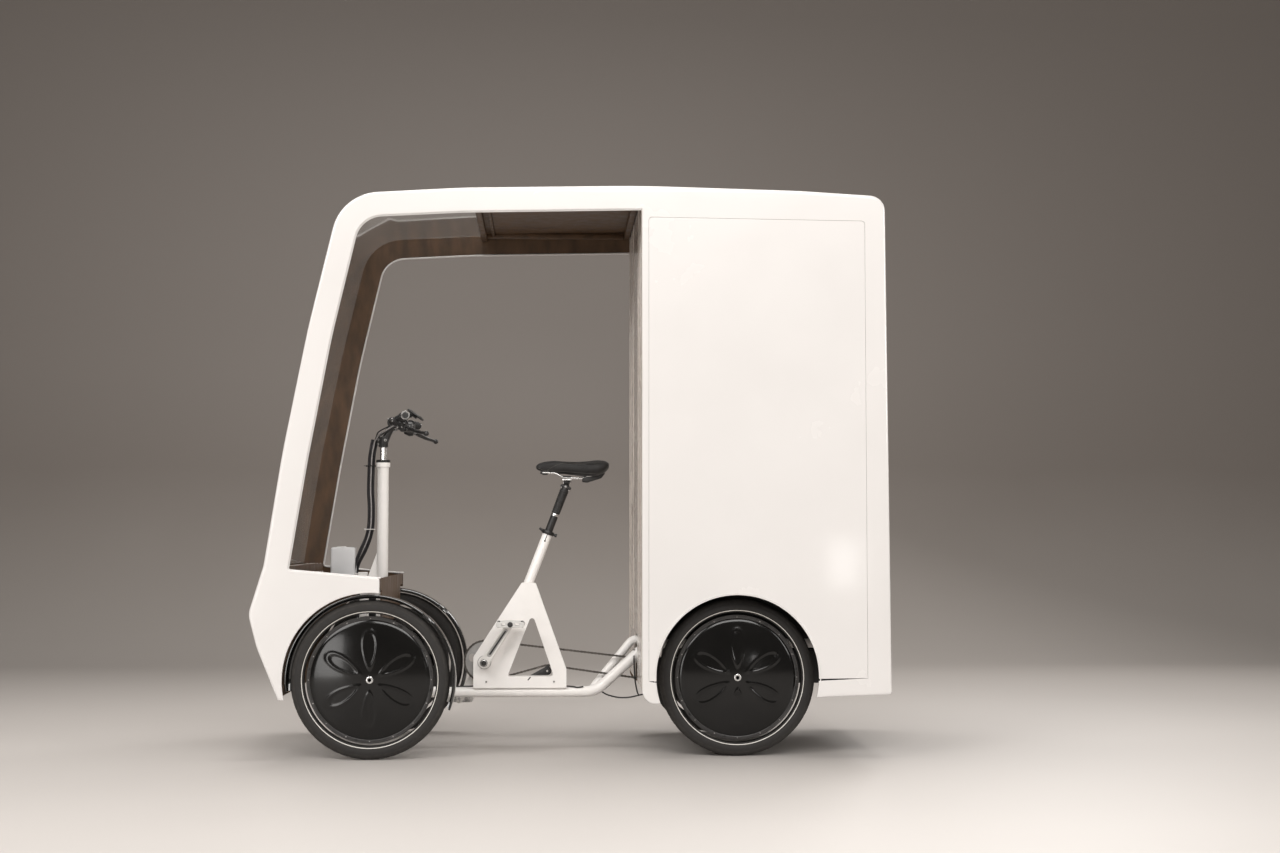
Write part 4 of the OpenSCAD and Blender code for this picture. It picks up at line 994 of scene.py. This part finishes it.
def link_plate(b, p, q, y, t, half, waist):
    u = unit(q - p)
    w = np.array((-u[1], u[0]))
    pts = []
    for c, base in ((p, 90), (q, -90)):
        for a in (0, 36, 72, 108, 144, 180):
            ang = radians(base + a)
            pts.append(c + half * (u * cos(ang) + w * sin(ang)))
        if c is p:
            pts.append((p + q) / 2 - w * waist)
    pts.append((p + q) / 2 + w * waist)
    n = len(pts)
    verts = [(c[0], y + k, c[1]) for k in (-t / 2, t / 2) for c in pts]
    faces = [(i, (i + 1) % n, n + (i + 1) % n, n + i) for i in range(n)]
    half_n = n // 2
    for off in (0, n):
        faces += [tuple(off + i for i in range(0, 6)), tuple(off + i for i in range(half_n, half_n + 6)),
            (off, off + 5, off + 6, off + 7, off + n - 2, off + n - 1)]
    b.add(verts, faces, 0)


def crank_tip(s):
    return CRANK - s * 168 * np.array((cos(radians(56)), sin(radians(56))))


def capsule(s, r0, r1, lo, hi, n=12):
    """Outline of a crank arm, or of a slot in it, from lo to hi along the arm."""
    u = unit(crank_tip(s) - CRANK)
    w, out = np.array((-u[1], u[0])), []
    for at, r, base in ((hi, r1, -90), (lo, r0, 90)):
        for i in range(n + 1):
            a = radians(base + 180 * i / n)
            out.append(tuple(CRANK + u * (at + r * cos(a)) + w * r * sin(a)))
    return out


def drive():
    pins = chain_pins()
    b = Build()
    for i, p in enumerate(pins):
        q = pins[(i + 1) % len(pins)]
        for s in (-1, 1):
            link_plate(b, p, q, CHAIN_Y + s * (2.9 if i % 2 else 1.95), 0.85, 3.9, 2.7)
        b.lathe((p[0], CHAIN_Y - 3.4, p[1]), (0, 1, 0), [(0, 1.7), (6.8, 1.7)], 8, 0)
        b.lathe((p[0], CHAIN_Y - 1.5, p[1]), (0, 1, 0), [(0, 2.0), (0.1, 3.7), (2.9, 3.7), (3.0, 2.0)], 10, 0)
    b.make("chain_links", ["chain"], "root", "chain_steel", "chain", smooth=30)

    def toothed(centre, r, teeth):
        near = [atan2(*(p - centre)[::-1]) for p in pins if abs(np.linalg.norm(p - centre) - r) < 0.05]
        phase = near[len(near) // 2]
        loop = []
        for i in range(teeth):
            a = phase + 2 * pi * i / teeth
            step = 2 * pi / teeth
            for k, rr in ((-0.14, r - 3.7), (0, r - 3.95), (0.14, r - 3.7), (0.34, r + 0.2),
                    (0.45, r + 2.9), (0.55, r + 2.9), (0.66, r + 0.2)):
                loop.append(polar(centre, rr, a + k * step))
        return loop
    b = Build()
    holes = [circle(polar(CRANK, 46, radians(72 * i + 20)), 14.5, 28) for i in range(5)]
    b.prism([toothed(CRANK, RING_R, 36)] + holes, CHAIN_Y - 1.2, CHAIN_Y + 1.2, m=1)
    c = (CRANK[0], 0, CRANK[1])
    b.lathe((CRANK[0], CHAIN_Y + 1.2, CRANK[1]), (0, 1, 0), [(0, 26), (2, 26), (4, 21), (26, 20)], 40, 0)
    b.lathe(c, (0, 1, 0), [(-77, 11.6), (77, 11.6)], 32, 3)
    for i in range(5):
        a = radians(72 * i + 56)
        b.bolt((CRANK[0] + 58 * cos(a), CHAIN_Y + 1.2, CRANK[1] + 58 * sin(a)), (0, 1, 0), 4.6, 2.6, 3, 2)
    for s in (-1, 1):
        tip = crank_tip(s)
        b.prism([capsule(s, 17, 13, 0, 168)], s * 66, s * 74, r=1.5, seg=2, m=0, both=True)
        b.prism([capsule(s, 17, 13, 0, 168), capsule(s, 8.2, 6.4, 34, 138)], s * 73.6, s * 79, r=2.2, seg=3,
            m=0)
        b.prism([capsule(s, 7.4, 5.8, 34, 138)], s * 73.9, s * 74.4, m=1)
        b.prism([capsule(s, 3.0, 2.4, 38, 134)], s * 74.3, s * 75.6, r=0.6, seg=2, m=2)
        # A black (liner) ring round the bolt cap: painted shade of the gap between cap and arm.
        b.lathe((CRANK[0], s * 78.8, CRANK[1]), (0, s, 0), [(0, 13.4), (0.3, 13.2), (0.3, 11.6)], 32, 2)
        b.lathe((CRANK[0], s * 78.6, CRANK[1]), (0, s, 0), [(0, 11.5), (1.4, 11.2), (1.8, 9.6), (0.4, 9.0),
            (-2, 8.6)], 32, 3)
        # A black (liner) floor inside the bolt cap: painted shade of its socket.
        b.lathe((CRANK[0], s * 76.4, CRANK[1]), (0, s, 0), [(0, 8.6), (1.0, 8.4), (1.0, 4.2), (-1, 4.0)],
            24, 2)
        b.lathe((tip[0], s * 78.6, tip[1]), (0, s, 0), [(0, 9.4), (1.2, 9.2), (1.6, 7.4)], 24, 3)
    b.make("crank_set", ["crank", "ring_grey", "liner", "silver"], "crank", "silver", "crankset", smooth=32)

    b = Build()
    b.prism([toothed(DRIVE, COG_R, 18)], CHAIN_Y - 1.2, CHAIN_Y + 1.2, m=0)
    b.lathe((DRIVE[0], CHAIN_Y, DRIVE[1]), (0, -1, 0), [(-9, 12), (-8, 17), (1.2, 20), (8, 18), (30, 16.5)],
        36, 1)
    b.make("drive_sprocket", ["ring_grey", "steel"], "rear_sprocket", "silver", "rear_sprocket", smooth=32)

    b = Build()
    b.lathe((IDLER[0], CHAIN_Y - 4, IDLER[1]), (0, 1, 0), [(0, 8), (0, 14.6), (2.4, 15.3), (5.6, 15.3),
        (8, 14.6), (8, 8), (6, 7), (2, 7)], 40, 0, closed=True)
    for i in range(6):
        a = radians(60 * i)
        b.lathe((IDLER[0] + 11 * cos(a), CHAIN_Y - 4.3, IDLER[1] + 11 * sin(a)), (0, 1, 0),
            [(0, 1.8), (8.6, 1.8)], 10, 1)
    b.lathe((IDLER[0], CHAIN_Y - 4.2, IDLER[1]), (0, 1, 0), [(0, 4.5), (0, 7.2), (8.4, 7.2), (8.4, 4.5)],
        24, 2, closed=True)
    b.make("tensioner_roller", ["rubber", "liner", "steel"], "tensioner_wheel", "black_metal",
        "tensioner_wheel")
    b = Build()
    arm = rounded([(-158, 212, 6), (-161, 232, 6), (-92, 270, 7), (-79, 279, 4), (-70, 256, 9),
        (-84, 243, 7)], 6)
    b.prism([arm], 28, 32, r=1.2, seg=2, m=0, both=True)
    b.lathe((IDLER[0], 24, IDLER[1]), (0, 1, 0), [(0, 3.5), (0, 9), (3, 9.6), (4, 9.6)], 24, 0)
    b.lathe((IDLER[0], 24.4, IDLER[1]), (0, -1, 0), [(0, 4.2), (2.2, 4.0), (2.6, 2.2)], 16, 1)
    b.lathe((IDLER[0], 28, IDLER[1]), (0, 1, 0), [(0, 3.9), (20, 3.9)], 16, 1)
    b.bolt((-150, 28.2, 224), (0, -1, 0), 4, 3, 1, 2)
    b.make("tensioner_plate", ["black", "steel", "liner"], "root", "black_metal", "tensioner_arm")

    for name, s in SIDES:
        x, z = crank_tip(s)
        b = Build()
        b.lathe((x, s * 67, z), (0, s, 0), [(0, 6.6), (12, 6.9), (14, 9.2), (18, 9.2), (20, 7),
            (115.4, 9.4), (116.4, 9.4), (116.9, 8)], 28, 1)
        for y0, y1 in ((84, 93), (171, 181.6)):
            plate = rounded([(x - 50, z - 9, 8), (x - 50, z + 9, 8), (x - 12, z + 11, 5),
                (x + 12, z + 11, 5), (x + 50, z + 9, 8), (x + 50, z - 9, 8), (x + 12, z - 11, 5),
                (x - 12, z - 11, 5)], 5)
            cut = [rounded([(x + e * 16, z - 6, 4), (x + e * 16, z + 6, 4), (x + e * 31, z + 4, 3),
                (x + e * 31, z - 4, 3)], 4) for e in (-1, 1)]
            b.prism([plate] + cut, s * y0, s * y1, r=1.6, seg=2, m=0, both=True)
        for e in (-1, 1):
            b.box((x + e * 38, s * 90, z - 8), (x + e * 49, s * 174, z + 8), 3.5, 0)
            b.box((x + e * 36, s * 98, z - 10.6), (x + e * 46, s * 166, z + 10.6), 2.5, 2)
            for k in range(6):
                b.lathe((x + e * 43.5, s * (98 + 13 * k), z - 10.9), (0, 0, 1), [(0, 1.6), (21.8, 1.6)], 8, 3)
        b.make("pedal_cage_" + name, ["pedal", "black", "rubber", "steel"], "pedal_" + name, "pedal_grey",
            "pedal_" + name)


# ---------------------------------------------------------------- seat
SEAT_LOW, SEAT_DIR = np.array((-171.0, 0, 520.0)), np.array((sin(radians(21)), 0, cos(radians(21))))
SEAT_TOP = SEAT_LOW + 252 * SEAT_DIR
# Stations of the saddle: (x, half width, top, underside)
SADDLE = ((-131, 8, 989, 983), (-126, 12, 997, 977), (-116, 18, 1003, 972), (-95, 22, 1008, 966),
    (-60, 25, 1009, 964), (-20, 31, 1006, 963), (20, 45, 1004, 957), (60, 66, 1006, 952),
    (95, 76, 1010, 952), (118, 74, 1011, 962), (130, 64, 1008, 974), (138, 46, 1000, 984))


def saddle_shell(drop):
    """Closed loft of the saddle, shrunk by drop so that the padding can swell."""
    xs = np.linspace(-131 + drop, 138 - drop, 74)
    cols = [np.array(c, float) for c in zip(*SADDLE)]
    k, verts = 48, []
    for x in xs:
        w, top, low = (np.interp(x, cols[0], c) for c in cols[1:])
        w, top, low = max(w - drop, 3), top - drop, low + drop * 0.4
        mid, up, down = (top + low) / 2 + 1.0, top - (top + low) / 2 - 1.0, (top + low) / 2 + 1.0 - low
        for j in range(k):
            a = 2 * pi * j / k
            cy, sz = cos(a), sin(a)
            y = w * copysign(abs(cy) ** (0.80 if sz > 0 else 0.62), cy)
            z = mid + (up * sz ** 0.62 if sz > 0 else -down * abs(sz) ** 0.9)
            if sz > 0 and -70 < x < 122:
                z -= 4.5 * exp(-(y / 9) ** 2) * min(1, (x + 70) / 40, (122 - x) / 30)
            verts.append((x, y, z))
    return verts, ring_faces(len(xs), k) + end_caps(len(xs), k)


def puff(o, voxel, pressure, cap):
    """Voxel remesh, then a short cloth run under pressure, with each point's move capped."""
    bpy.context.view_layer.objects.active = o
    rm = o.modifiers.new("Remesh", "REMESH")
    rm.mode = "VOXEL"
    rm.voxel_size = voxel
    bpy.ops.object.modifier_apply(modifier=rm.name)
    start = np.array([v.co[:] for v in o.data.vertices])
    cloth = o.modifiers.new("Cloth", "CLOTH")
    st = cloth.settings
    st.quality = 6
    st.mass = 0.3
    st.tension_stiffness = st.compression_stiffness = 30
    st.shear_stiffness = 15
    st.bending_stiffness = 4
    st.use_pressure = True
    st.uniform_pressure_force = pressure
    st.effector_weights.gravity = 0
    cloth.collision_settings.use_collision = False
    cloth.point_cache.frame_start, cloth.point_cache.frame_end = 1, 20
    scene = bpy.context.scene
    for fr in range(1, 21):
        scene.frame_set(fr)
    moved = o.evaluated_get(bpy.context.evaluated_depsgraph_get()).data
    after = np.array([v.co[:] for v in moved.vertices])
    scene.frame_set(1)
    o.modifiers.remove(cloth)
    d = after - start
    length = np.linalg.norm(d, axis=1)
    d *= np.minimum(1, cap / np.maximum(length, 1e-9))[:, None]
    o.data.vertices.foreach_set("co", (start + d).ravel())
    o.data.update()
    for kind in ("SMOOTH", "SUBSURF"):
        m = o.modifiers.new(kind, kind)
        if kind == "SMOOTH":
            m.iterations, m.factor = 3, 0.5
        else:
            m.levels = m.render_levels = 1
        bpy.ops.object.modifier_apply(modifier=m.name)
    o.data.shade_smooth()


def seat():
    b = Build()
    verts, faces = saddle_shell(3.2)
    b.add(verts, faces, 0)
    top = b.make("saddle_padding", ["leather"], "seat", "saddle", "saddle", smooth=80)
    puff(top, 0.0042, 4.0, 0.004)
    tree = BVHTree.FromObject(top, bpy.context.evaluated_depsgraph_get())
    b = Build()
    for s in (-1, 1):
        for line in (((-92, 968), (-74, 981), (-50, 993), (-16, 999), (30, 997), (80, 1000), (118, 1000)),
                ((-118, 981), (-90, 972), (-40, 970), (10, 966), (60, 961), (98, 961), (122, 972))):
            pts = []
            for x, z in [(q[0], q[2]) for q in smooth_path([(x, 0, z) for x, z in line], 8)]:
                hit = tree.ray_cast(Vector((x / 1000, s * 0.2, z / 1000)), Vector((0, -s, 0)), 0.2)[0]
                if hit is not None:
                    pts.append(np.array(hit[:]) * 1000)
            b.tube(pts, 0.95, 8, 0)
    b.make("saddle_seams", ["thread"], "seat", "saddle")
    b = Build()
    bumper = rounded([(40, 932, 3), (58, 930, 6), (108, 946, 8), (121, 962, 6), (114, 973, 6), (60, 952, 6),
        (40, 946, 3)], 6)
    b.prism([bumper], -30, 30, r=4, seg=3, m=0, both=True)
    b.prism([rounded([(-112, 962, 3), (-100, 957, 4), (-84, 958, 4), (-80, 968, 3), (-108, 974, 3)], 4)],
        -15, 15, r=3, seg=3, m=0, both=True)
    b.make("saddle_ends", ["rubber"], "seat", "saddle")
    b = Build()
    for s in (-1, 1):
        b.tube(bend([(-106, s * 11, 966), (-56, s * 18, 963), (-28, s * 22, 947), (38, s * 22, 944),
            (98, s * 32, 961)], 30, 8), 3.6, 14, 0)
    head = SEAT_LOW + 430 * SEAT_DIR
    b.box((head[0] - 16, -31, 936.5), (head[0] + 18, 31, 941), 2, 0)
    b.box((head[0] - 15, -30, 948.5), (head[0] + 17, 30, 953), 2, 1)
    b.lathe(SEAT_LOW, SEAT_DIR, [(429, 10.5), (432, 8.2), (447, 8.2), (449, 12), (450, 12)], 28, 1)
    b.box((head[0] - 11, -20, 926), (head[0] + 12, 20, 937), 3.5, 1)
    for x in (head[0] - 10, head[0] + 12):
        b.lathe((x, 0, 927), (0, 0, 1), [(0, 4.6), (4, 4.6), (4, 3), (24, 3), (24, 4.6), (27, 4.6)], 16, 0)
    b.make("saddle_rail_pair", ["silver", "black"], "seat", "silver", "saddle_rails")
    b = Build()
    b.lathe(SEAT_LOW, SEAT_DIR, [(102, 13.2), (103, 13.6), (300, 13.6), (309.6, 13.6)], 40, 0)
    b.lathe(SEAT_LOW, SEAT_DIR, [(309.6, 13.6), (310, 14.3), (319, 14.3), (319.6, 13.9)], 40, 1)
    waves = [(320, 13.9)]
    for i in range(11):
        a = 322 + 7.8 * i
        grow = 0.12 * i
        waves += [(a, 14.3 + grow * 0.6), (a + 1.6, 15.2 + grow), (a + 4.4, 15.3 + grow),
            (a + 6.2, 14.3 + grow * 0.6)]
    b.lathe(SEAT_LOW, SEAT_DIR, waves + [(409, 15.4), (411, 14.6), (412, 11)], 40, 2)
    b.lathe(SEAT_LOW, SEAT_DIR, [(410, 12), (429, 12), (431, 10.5)], 32, 0)
    turn = Matrix.Translation(SEAT_LOW + 421 * SEAT_DIR) @ Matrix.Rotation(radians(21), 4, "Y")
    b.box((-19, -12, -4), (20, 12, 6), 3.5, 0, turn)
    for x in (-14, 15):
        b.lathe(np.array(turn @ Vector((x, 0, -9))), SEAT_DIR, [(0, 4.2), (5, 4.2), (5, 6), (8, 6)], 16, 3)
    for s in (-1, 1):
        b.bolt(np.array(turn @ Vector((0, s * 12, 1))), (0, s, 0), 4.2, 2.4, 3, 0)
    b.make("seatpost_boot", ["black", "silver", "rubber", "steel"], "seat", "black_metal", "seatpost",
        smooth=50)
    b = Build()
    b.lathe(SEAT_LOW, SEAT_DIR, [(240, 17.7), (240, 20.8), (241.4, 21.9), (252.4, 21.9), (253.8, 20.8),
        (253.9, 14.4), (252, 14.2)], 44, 0)
    turn = Matrix.Translation(SEAT_TOP) @ Matrix.Rotation(radians(21), 4, "Y")
    b.box((-24, -9, -11.5), (-14, 9, 1.5), 3, 0, turn)
    b.tube([np.array(turn @ Vector(p)) for p in ((-20, -7, -4), (-27, -8, -3), (-33.6, -6, -1))],
        (5, 4.6, 4.2), 16, 0)
    b.box((14, -5, -10), (25, 5, 0), 2.4, 0, turn)
    b.tube([np.array(turn @ Vector(p)) for p in ((22, 0, -5), (28, 0, -5), (33.6, 0, -5))], (3.2, 6.2, 6.0),
        18, 0)
    b.make("seat_collar", ["black"], "root", "black_metal", "seat_clamp", smooth=45)


# ---------------------------------------------------------------- handlebar
GRIP_IN, BAR_END = np.array((-592.0, 186, 1149)), np.array((-571.0, 310, 1150))


def handlebars():
    col = np.array((-672.0, 0, 0))
    b = Build()
    b.lathe(col + (0, 0, 1001), (0, 0, 1), [(0, 12), (0, 24), (1, 25), (7, 25), (8.8, 22), (9, 12)], 48, 0)
    b.lathe(col + (0, 0, 1056), (0, 0, 1), [(0, 11.6), (0, 16.6), (1, 17), (34, 17), (36, 15), (36, 4)], 36,
        0)
    b.bolt(col + (0, 0, 1092), (0, 0, 1), 6, 3.6, 2, 3)
    b.tube([(-668, 0, 1077), (-658, 0, 1099), (-638, 0, 1143)], (14, 13.2, 12), 28, 0, squash=1.15)
    b.lathe((-664, -15.6, 1080), (0, 1, 0), [(0, 9), (1.4, 11), (29.8, 11), (31.2, 9)], 28, 0)
    for s in (-1, 1):
        b.bolt((-664, s * 15.4, 1080), (0, s, 0), 5, 2.2, 2, 3)
        b.lathe((-638, s * 1.5, 1143), (0, s, 0), [(0, 11.4), (0, 18), (1, 19), (21.5, 19), (22.5, 18),
            (22.5, 11.4)], 40, 0)
        for z in (1066, 1082):
            b.bolt((-689, s * 10.6, z), (0, s, 0), 3.6, 2.6, 2, 3)
        for x, z in ((-652, 1154), (-645, 1129)):
            b.bolt((x - 2, s * 13, z), (-0.7, 0, 0.72), 3.4, 4, 2, 3)
    b.box((-698, -11, 1062), (-684, 11, 1088), 3.5, 0, seg=3)
    b.make("stem_clamps", ["black", "rubber", "steel", "liner"], "handlebars", "black_metal", "stem")

    b = Build()
    ends = [mirrored(p, s) for s, ps in ((-1, (BAR_END, GRIP_IN, (-638, 62, 1143))),
        (1, ((-638, 62, 1143), GRIP_IN, BAR_END))) for p in ps]
    b.tube(bend(ends, 40, 10), 10.9, 32, 0)
    b.make("handlebar_tube", ["black"], "handlebars", "black_metal", "handlebar", smooth=50)

    b = Build()
    for s in (-1, 1):
        p, q = mirrored(GRIP_IN, s), mirrored(BAR_END, s)
        axis, length = unit(q - p), float(np.linalg.norm(q - p))
        prof = [(9, 12), (9.5, 16), (11, 16.9), (16, 16.9), (17.5, 14.6)]
        at = 19.0
        while at < length - 14:
            prof += [(at, 14.0), (at + 0.5, 14.9), (at + 2.3, 14.9), (at + 2.8, 14.0)]
            at += 3.4
        b.lathe(p, axis, prof + [(length - 9, 14.4), (length - 7, 14.6)], 40, 0)
        b.lathe(p, axis, [(length - 7, 11.2), (length - 7, 14.8), (length - 6, 15), (length - 1, 15),
            (length, 14.2), (length, 10.2), (length - 2, 9.0)], 40, 1)
        b.lathe(p, axis, [(length - 3.5, 9.2), (length - 1.2, 9.0), (length - 0.9, 6.0),
            (length - 2.6, 3.0)], 32, 2)
    b.make("grip_pair", ["grip", "silver", "rubber"], "handlebars", "grip", "grips", smooth=50)

    b = Build()
    turn = Matrix.Translation((-557.5, 0, 1172)) @ Matrix.Rotation(radians(34.5), 4, "Y")
    b.box((-31, -46, -5), (31, 46, 3.2), 3.5, 0, turn, seg=3)
    b.box((-25, -40, 2), (25, 26, 4.2), 1, 1, turn)
    for y in (32, 39):
        for x in (-14, 0, 14):
            b.box((x - 4.5, y - 2.6, 2), (x + 4.5, y + 2.6, 4.9), 1.2, 2, turn)
    b.box((-20, -14, -12), (10, 14, -4), 3, 0, turn)
    b.tube([(-622.5, 0, 1158), (-598, 0, 1166), (-571.5, 0, 1168)], 5.8, 18, 0)
    b.lathe((-598, 0, 1137), (0, 0, 1), [(0, 5), (30, 5)], 18, 0)
    b.box((-612, -24, 1111), (-560, 24, 1139), 5, 0, seg=3)
    for x in (-604, -586, -568):
        b.lathe((x, -24, 1118), (0, -1, 0), [(0, 4.6), (4, 4.6), (5, 3.4), (5, 1)], 16, 2)
    for x in (-606, -566):
        b.bolt((x, -23.8, 1133), (0, -1, 0), 2.6, 1.4, 3, 2)
    b.make("display_unit", ["black", "screen_dark", "rubber", "steel"], "handlebars", "black_metal",
        "display")

    b, c = Build(), Build()
    for s in (-1, 1):
        p = lambda *q: mirrored(q, s)
        bar = unit(mirrored(GRIP_IN, s) - np.array((-638, s * 62, 1143)))
        mid = p(-606, 150, 1144)
        b.lathe(mid - bar * 9, bar, [(0, 11), (0, 16), (1, 17), (17, 17), (18, 16), (18, 11)], 36, 0)
        b.box(p(-628, 142, 1136), p(-618, 158, 1152), 2.5, 0)
        for z in (1139.5, 1148.5):
            b.bolt(p(-628, 150, z), (-1, 0, 0), 3, 2.4, 1, 2)
        b.bolt(p(-617, 158.6, 1143), (0, s, 0), 3.6, 2.2, 1, 2)
        body = [p(-622, 112, 1132), p(-608, 132, 1129), p(-594, 148, 1125), p(-583, 153, 1122)]
        b.tube(body, (8, 10.6, 11.6, 10.4), 22, 0)
        b.tube([p(-604, 134, 1118), p(-590, 146, 1112), p(-578, 151, 1112)], (8.5, 9.5, 7.5), 20, 0)
        b.tube([p(-599, 151, 1131), p(-590, 152, 1125), p(-582, 153, 1123)], (10, 9.6, 8.8), 22, 0)
        b.box(p(-612, 128, 1118), p(-590, 150, 1126), 3, 0)
        b.bolt(p(-609, 150.6, 1120), (0, s, 0), 3.2, 2.2, 1, 2)
        b.bolt(p(-594, 158, 1119), (0, s, 0), 3.0, 2.0, 1, 2)
        b.box(p(-600, 158, 1128), p(-586, 186, 1134), 2.4, 0)
        b.box(p(-598, 176, 1126), p(-590, 188, 1129), 1.5, 3)
        b.lathe(p(-572, 149, 1116), (0, s, 0), [(0, 5), (0, 7), (1.5, 7), (1.5, 3)], 20, 1)
        for k, off in enumerate(((-16, 0, -2), (-10, -6, -9))):
            cable = [p(-620, 114, 1131), p(-646 + off[0] / 2, 96, 1122 + off[2]),
                p(-676 + off[0] / 2, 62, 1108 + off[2]), p(-694, 34, 1092 + off[2]),
                p(-702, 15 + 4 * k, 1072), p(-706, 9 + 3 * k, 1052)]
            c.tube(smooth_path(cable, 8), 2.5, 12, k)
    c.tube(smooth_path([(-580, -20, 1162), (-606, -24, 1136), (-644, -20, 1118), (-684, -14, 1094),
        (-700, -6, 1068), (-707, -2, 1048)], 8), 2.2, 12, 0)
    b.make("brake_bodies", ["black", "silver", "liner", "rubber"], "handlebars", "black_metal",
        "lever_brackets")
    c.make("bar_cables", ["rubber", "cable"], "handlebars", "hose")
    for name, s in SIDES:
        b = Build()
        pv, ball = mirrored((-572, 156, 1116), s), mirrored((-502, 268, 1090), s)
        inward = unit((-65, 0, 55))
        ax = unit(np.cross(ball - pv, inward))
        b.lathe(pv - ax * 6, ax, [(0, 5.8), (0.8, 6.5), (11.2, 6.5), (12, 5.8)], 24, 0)
        for e in (-1, 1):
            b.bolt(pv + ax * e * 5.6, ax * e, 3.2, 1.6, 1, 2)
        knee = pv + 0.45 * (ball - pv) - inward * 8
        line = smooth_path([pv, pv + 0.2 * (ball - pv) - inward * 5, knee, pv + 0.75 * (ball - pv) - inward
            * 4, ball - 3 * unit(ball - knee)], 6)
        b.tube(line, list(np.interp(np.linspace(0, 1, len(line)), (0, 0.2, 0.6, 0.9, 1),
            (6.2, 7.2, 6.4, 5.4, 5.0))), 18, 0, squash=0.72)
        b.tube(line[2:-2], [2.6] * (len(line) - 4), 10, 1)
        b.lathe(ball, unit(ball - knee), [(-9.2, 3), (-8, 5.4), (-5, 8.2), (0, 9.4), (5, 8.2), (8, 5.2),
            (9.3, 1.2)], 24, 0)
        b.make("brake_blade_" + name, ["black", "silver", "liner"], "brake_lever_" + name, "black_metal",
            "brake_lever_" + name, smooth=50)


# ---------------------------------------------------------------- loom
def ribbed(b, path, r, m, rib=0.5):
    length = np.concatenate(([0], np.cumsum([np.linalg.norm(q - p) for p, q in zip(path, path[1:])])))
    at = np.arange(0, length[-1], 1.5)
    pts = [np.array([np.interp(t, length, [p[i] for p in path]) for i in range(3)]) for t in at]
    b.tube(pts, [r + (rib if k % 3 == 0 else 0) for k in range(len(pts))], 14, m)


def turn_with_bar(o):
    """Bakes a piece's placement into its mesh."""
    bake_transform(o)


def loom():
    low = [(-713, 8, 840), (-714, 8, 780), (-722, 12, 736), (-740, 26, 690), (-762, 40, 640),
        (-768, 43, 606), (-753, 42, 566), (-752, 42, 480), (-752, 42, 400), (-750, 42, 290),
        (-722, 47, 236), (-676, 50, 213)]
    high = [(-702, 12, 1082), (-708, 9, 1052), (-713, 8, 1015), (-715, 8, 960), (-716, 8, 900)]
    for name, s in SIDES:
        route = [np.array((x + (-6 if s < 0 else 6) * (1 if z > 640 else 0.3), s * y, z)) for x, y,
            z in high + low]
        b = Build()
        ribbed(b, smooth_path(route, 10), 6.2, 0)
        o = b.make("loom_hose_" + name, ["sleeve"], "root", "hose", ("hoses_lower", "hoses_upper") if s < 0
            else (), smooth=60, ride=False)
        turn_with_bar(o)
    b = Build()
    route = [np.array((x + 1, -y * 0.6 - 7, z)) for x, y, z in high + low[:7]]
    b.tube(smooth_path(route, 10), 2.4, 10, 0)
    turn_with_bar(b.make("loom_strand", ["cable"], "root", "hose", ride=False))

    def tie(name, c, key, tail, blend):
        b = Build()
        ring = [np.array((c[0] + 16.5 * cos(a), c[1] + 18.5 * sin(a), c[2]))
            for a in np.linspace(0, 2 * pi, 33)]
        b.tube(ring, 1.7, 8, 0, caps=False)
        b.box((c[0] - 20, c[1] - 9, c[2] - 3), (c[0] - 15, c[1] - 3, c[2] + 3), 1, 0)
        b.tube([(c[0] - 18, c[1] - 6, c[2]), (c[0] - 18 - tail, c[1] - 8, c[2] + 1)], 1.0, 6, 0)
        o = b.make(name, [key], "root", "hose", ride=not blend)
        if blend:
            turn_with_bar(o)
    tie("loom_tie_top", (-713, -1, 988), "rubber", 9, True)
    tie("loom_tie_low", (-716, -2, 762), "tie", 3, False)


def small_runs():
    """Cables, clips and fittings along the frame."""
    b = Build()
    runs = (([(-470, -12, 208), (-420, -17, 206), (-360, -20, 206), (-346, -22, 207)], 2.4),
        ([(-15, -12, 205), (5, -15, 204), (24, -17, 201), (44, -12, 203)], 2.4),
        ([(110, 8, 184), (132, 4, 172), (172, 0, 163), (208, -6, 164), (236, -10, 170), (262, -10, 176)],
        2.6), ([(224, -26, 306), (226, -28, 262), (229, -26, 222), (236, -20, 186), (242, -14, 172)], 2.6),
        ([(-722, 47, 236), (-700, 49, 222), (-676, 50, 214)], 4))
    for path, r in runs:
        b.tube(smooth_path(path, 8), r, 10, 0)
    for x in (-410, -396, -372, -360):
        b.lathe((x, -6, 158 + (x % 5)), (0, -1, 0), [(0, 5), (9, 5), (10, 4), (10, 2)], 14, 1)
        b.tube([(x, 0, 170), (x + 2, -4, 156), (x, -8, 150)], 2.0, 8, 1)
    b.lathe((-384, 0, 152), (1, 0, 0), [(0, 4), (26, 4), (27, 3)], 16, 1)
    for z in (322, 346):
        b.lathe((222, -90, z - 8), (0, -1, 0), [(0, 4), (3, 4), (4, 3)], 14, 1)
    b.make("frame_cables", ["rubber", "steel"], "root", "hose")


body_sides()
shells()
wheels()
front_guards()
chassis()
lamps()
door()
drive()
seat()
handlebars()
loom()
small_runs()
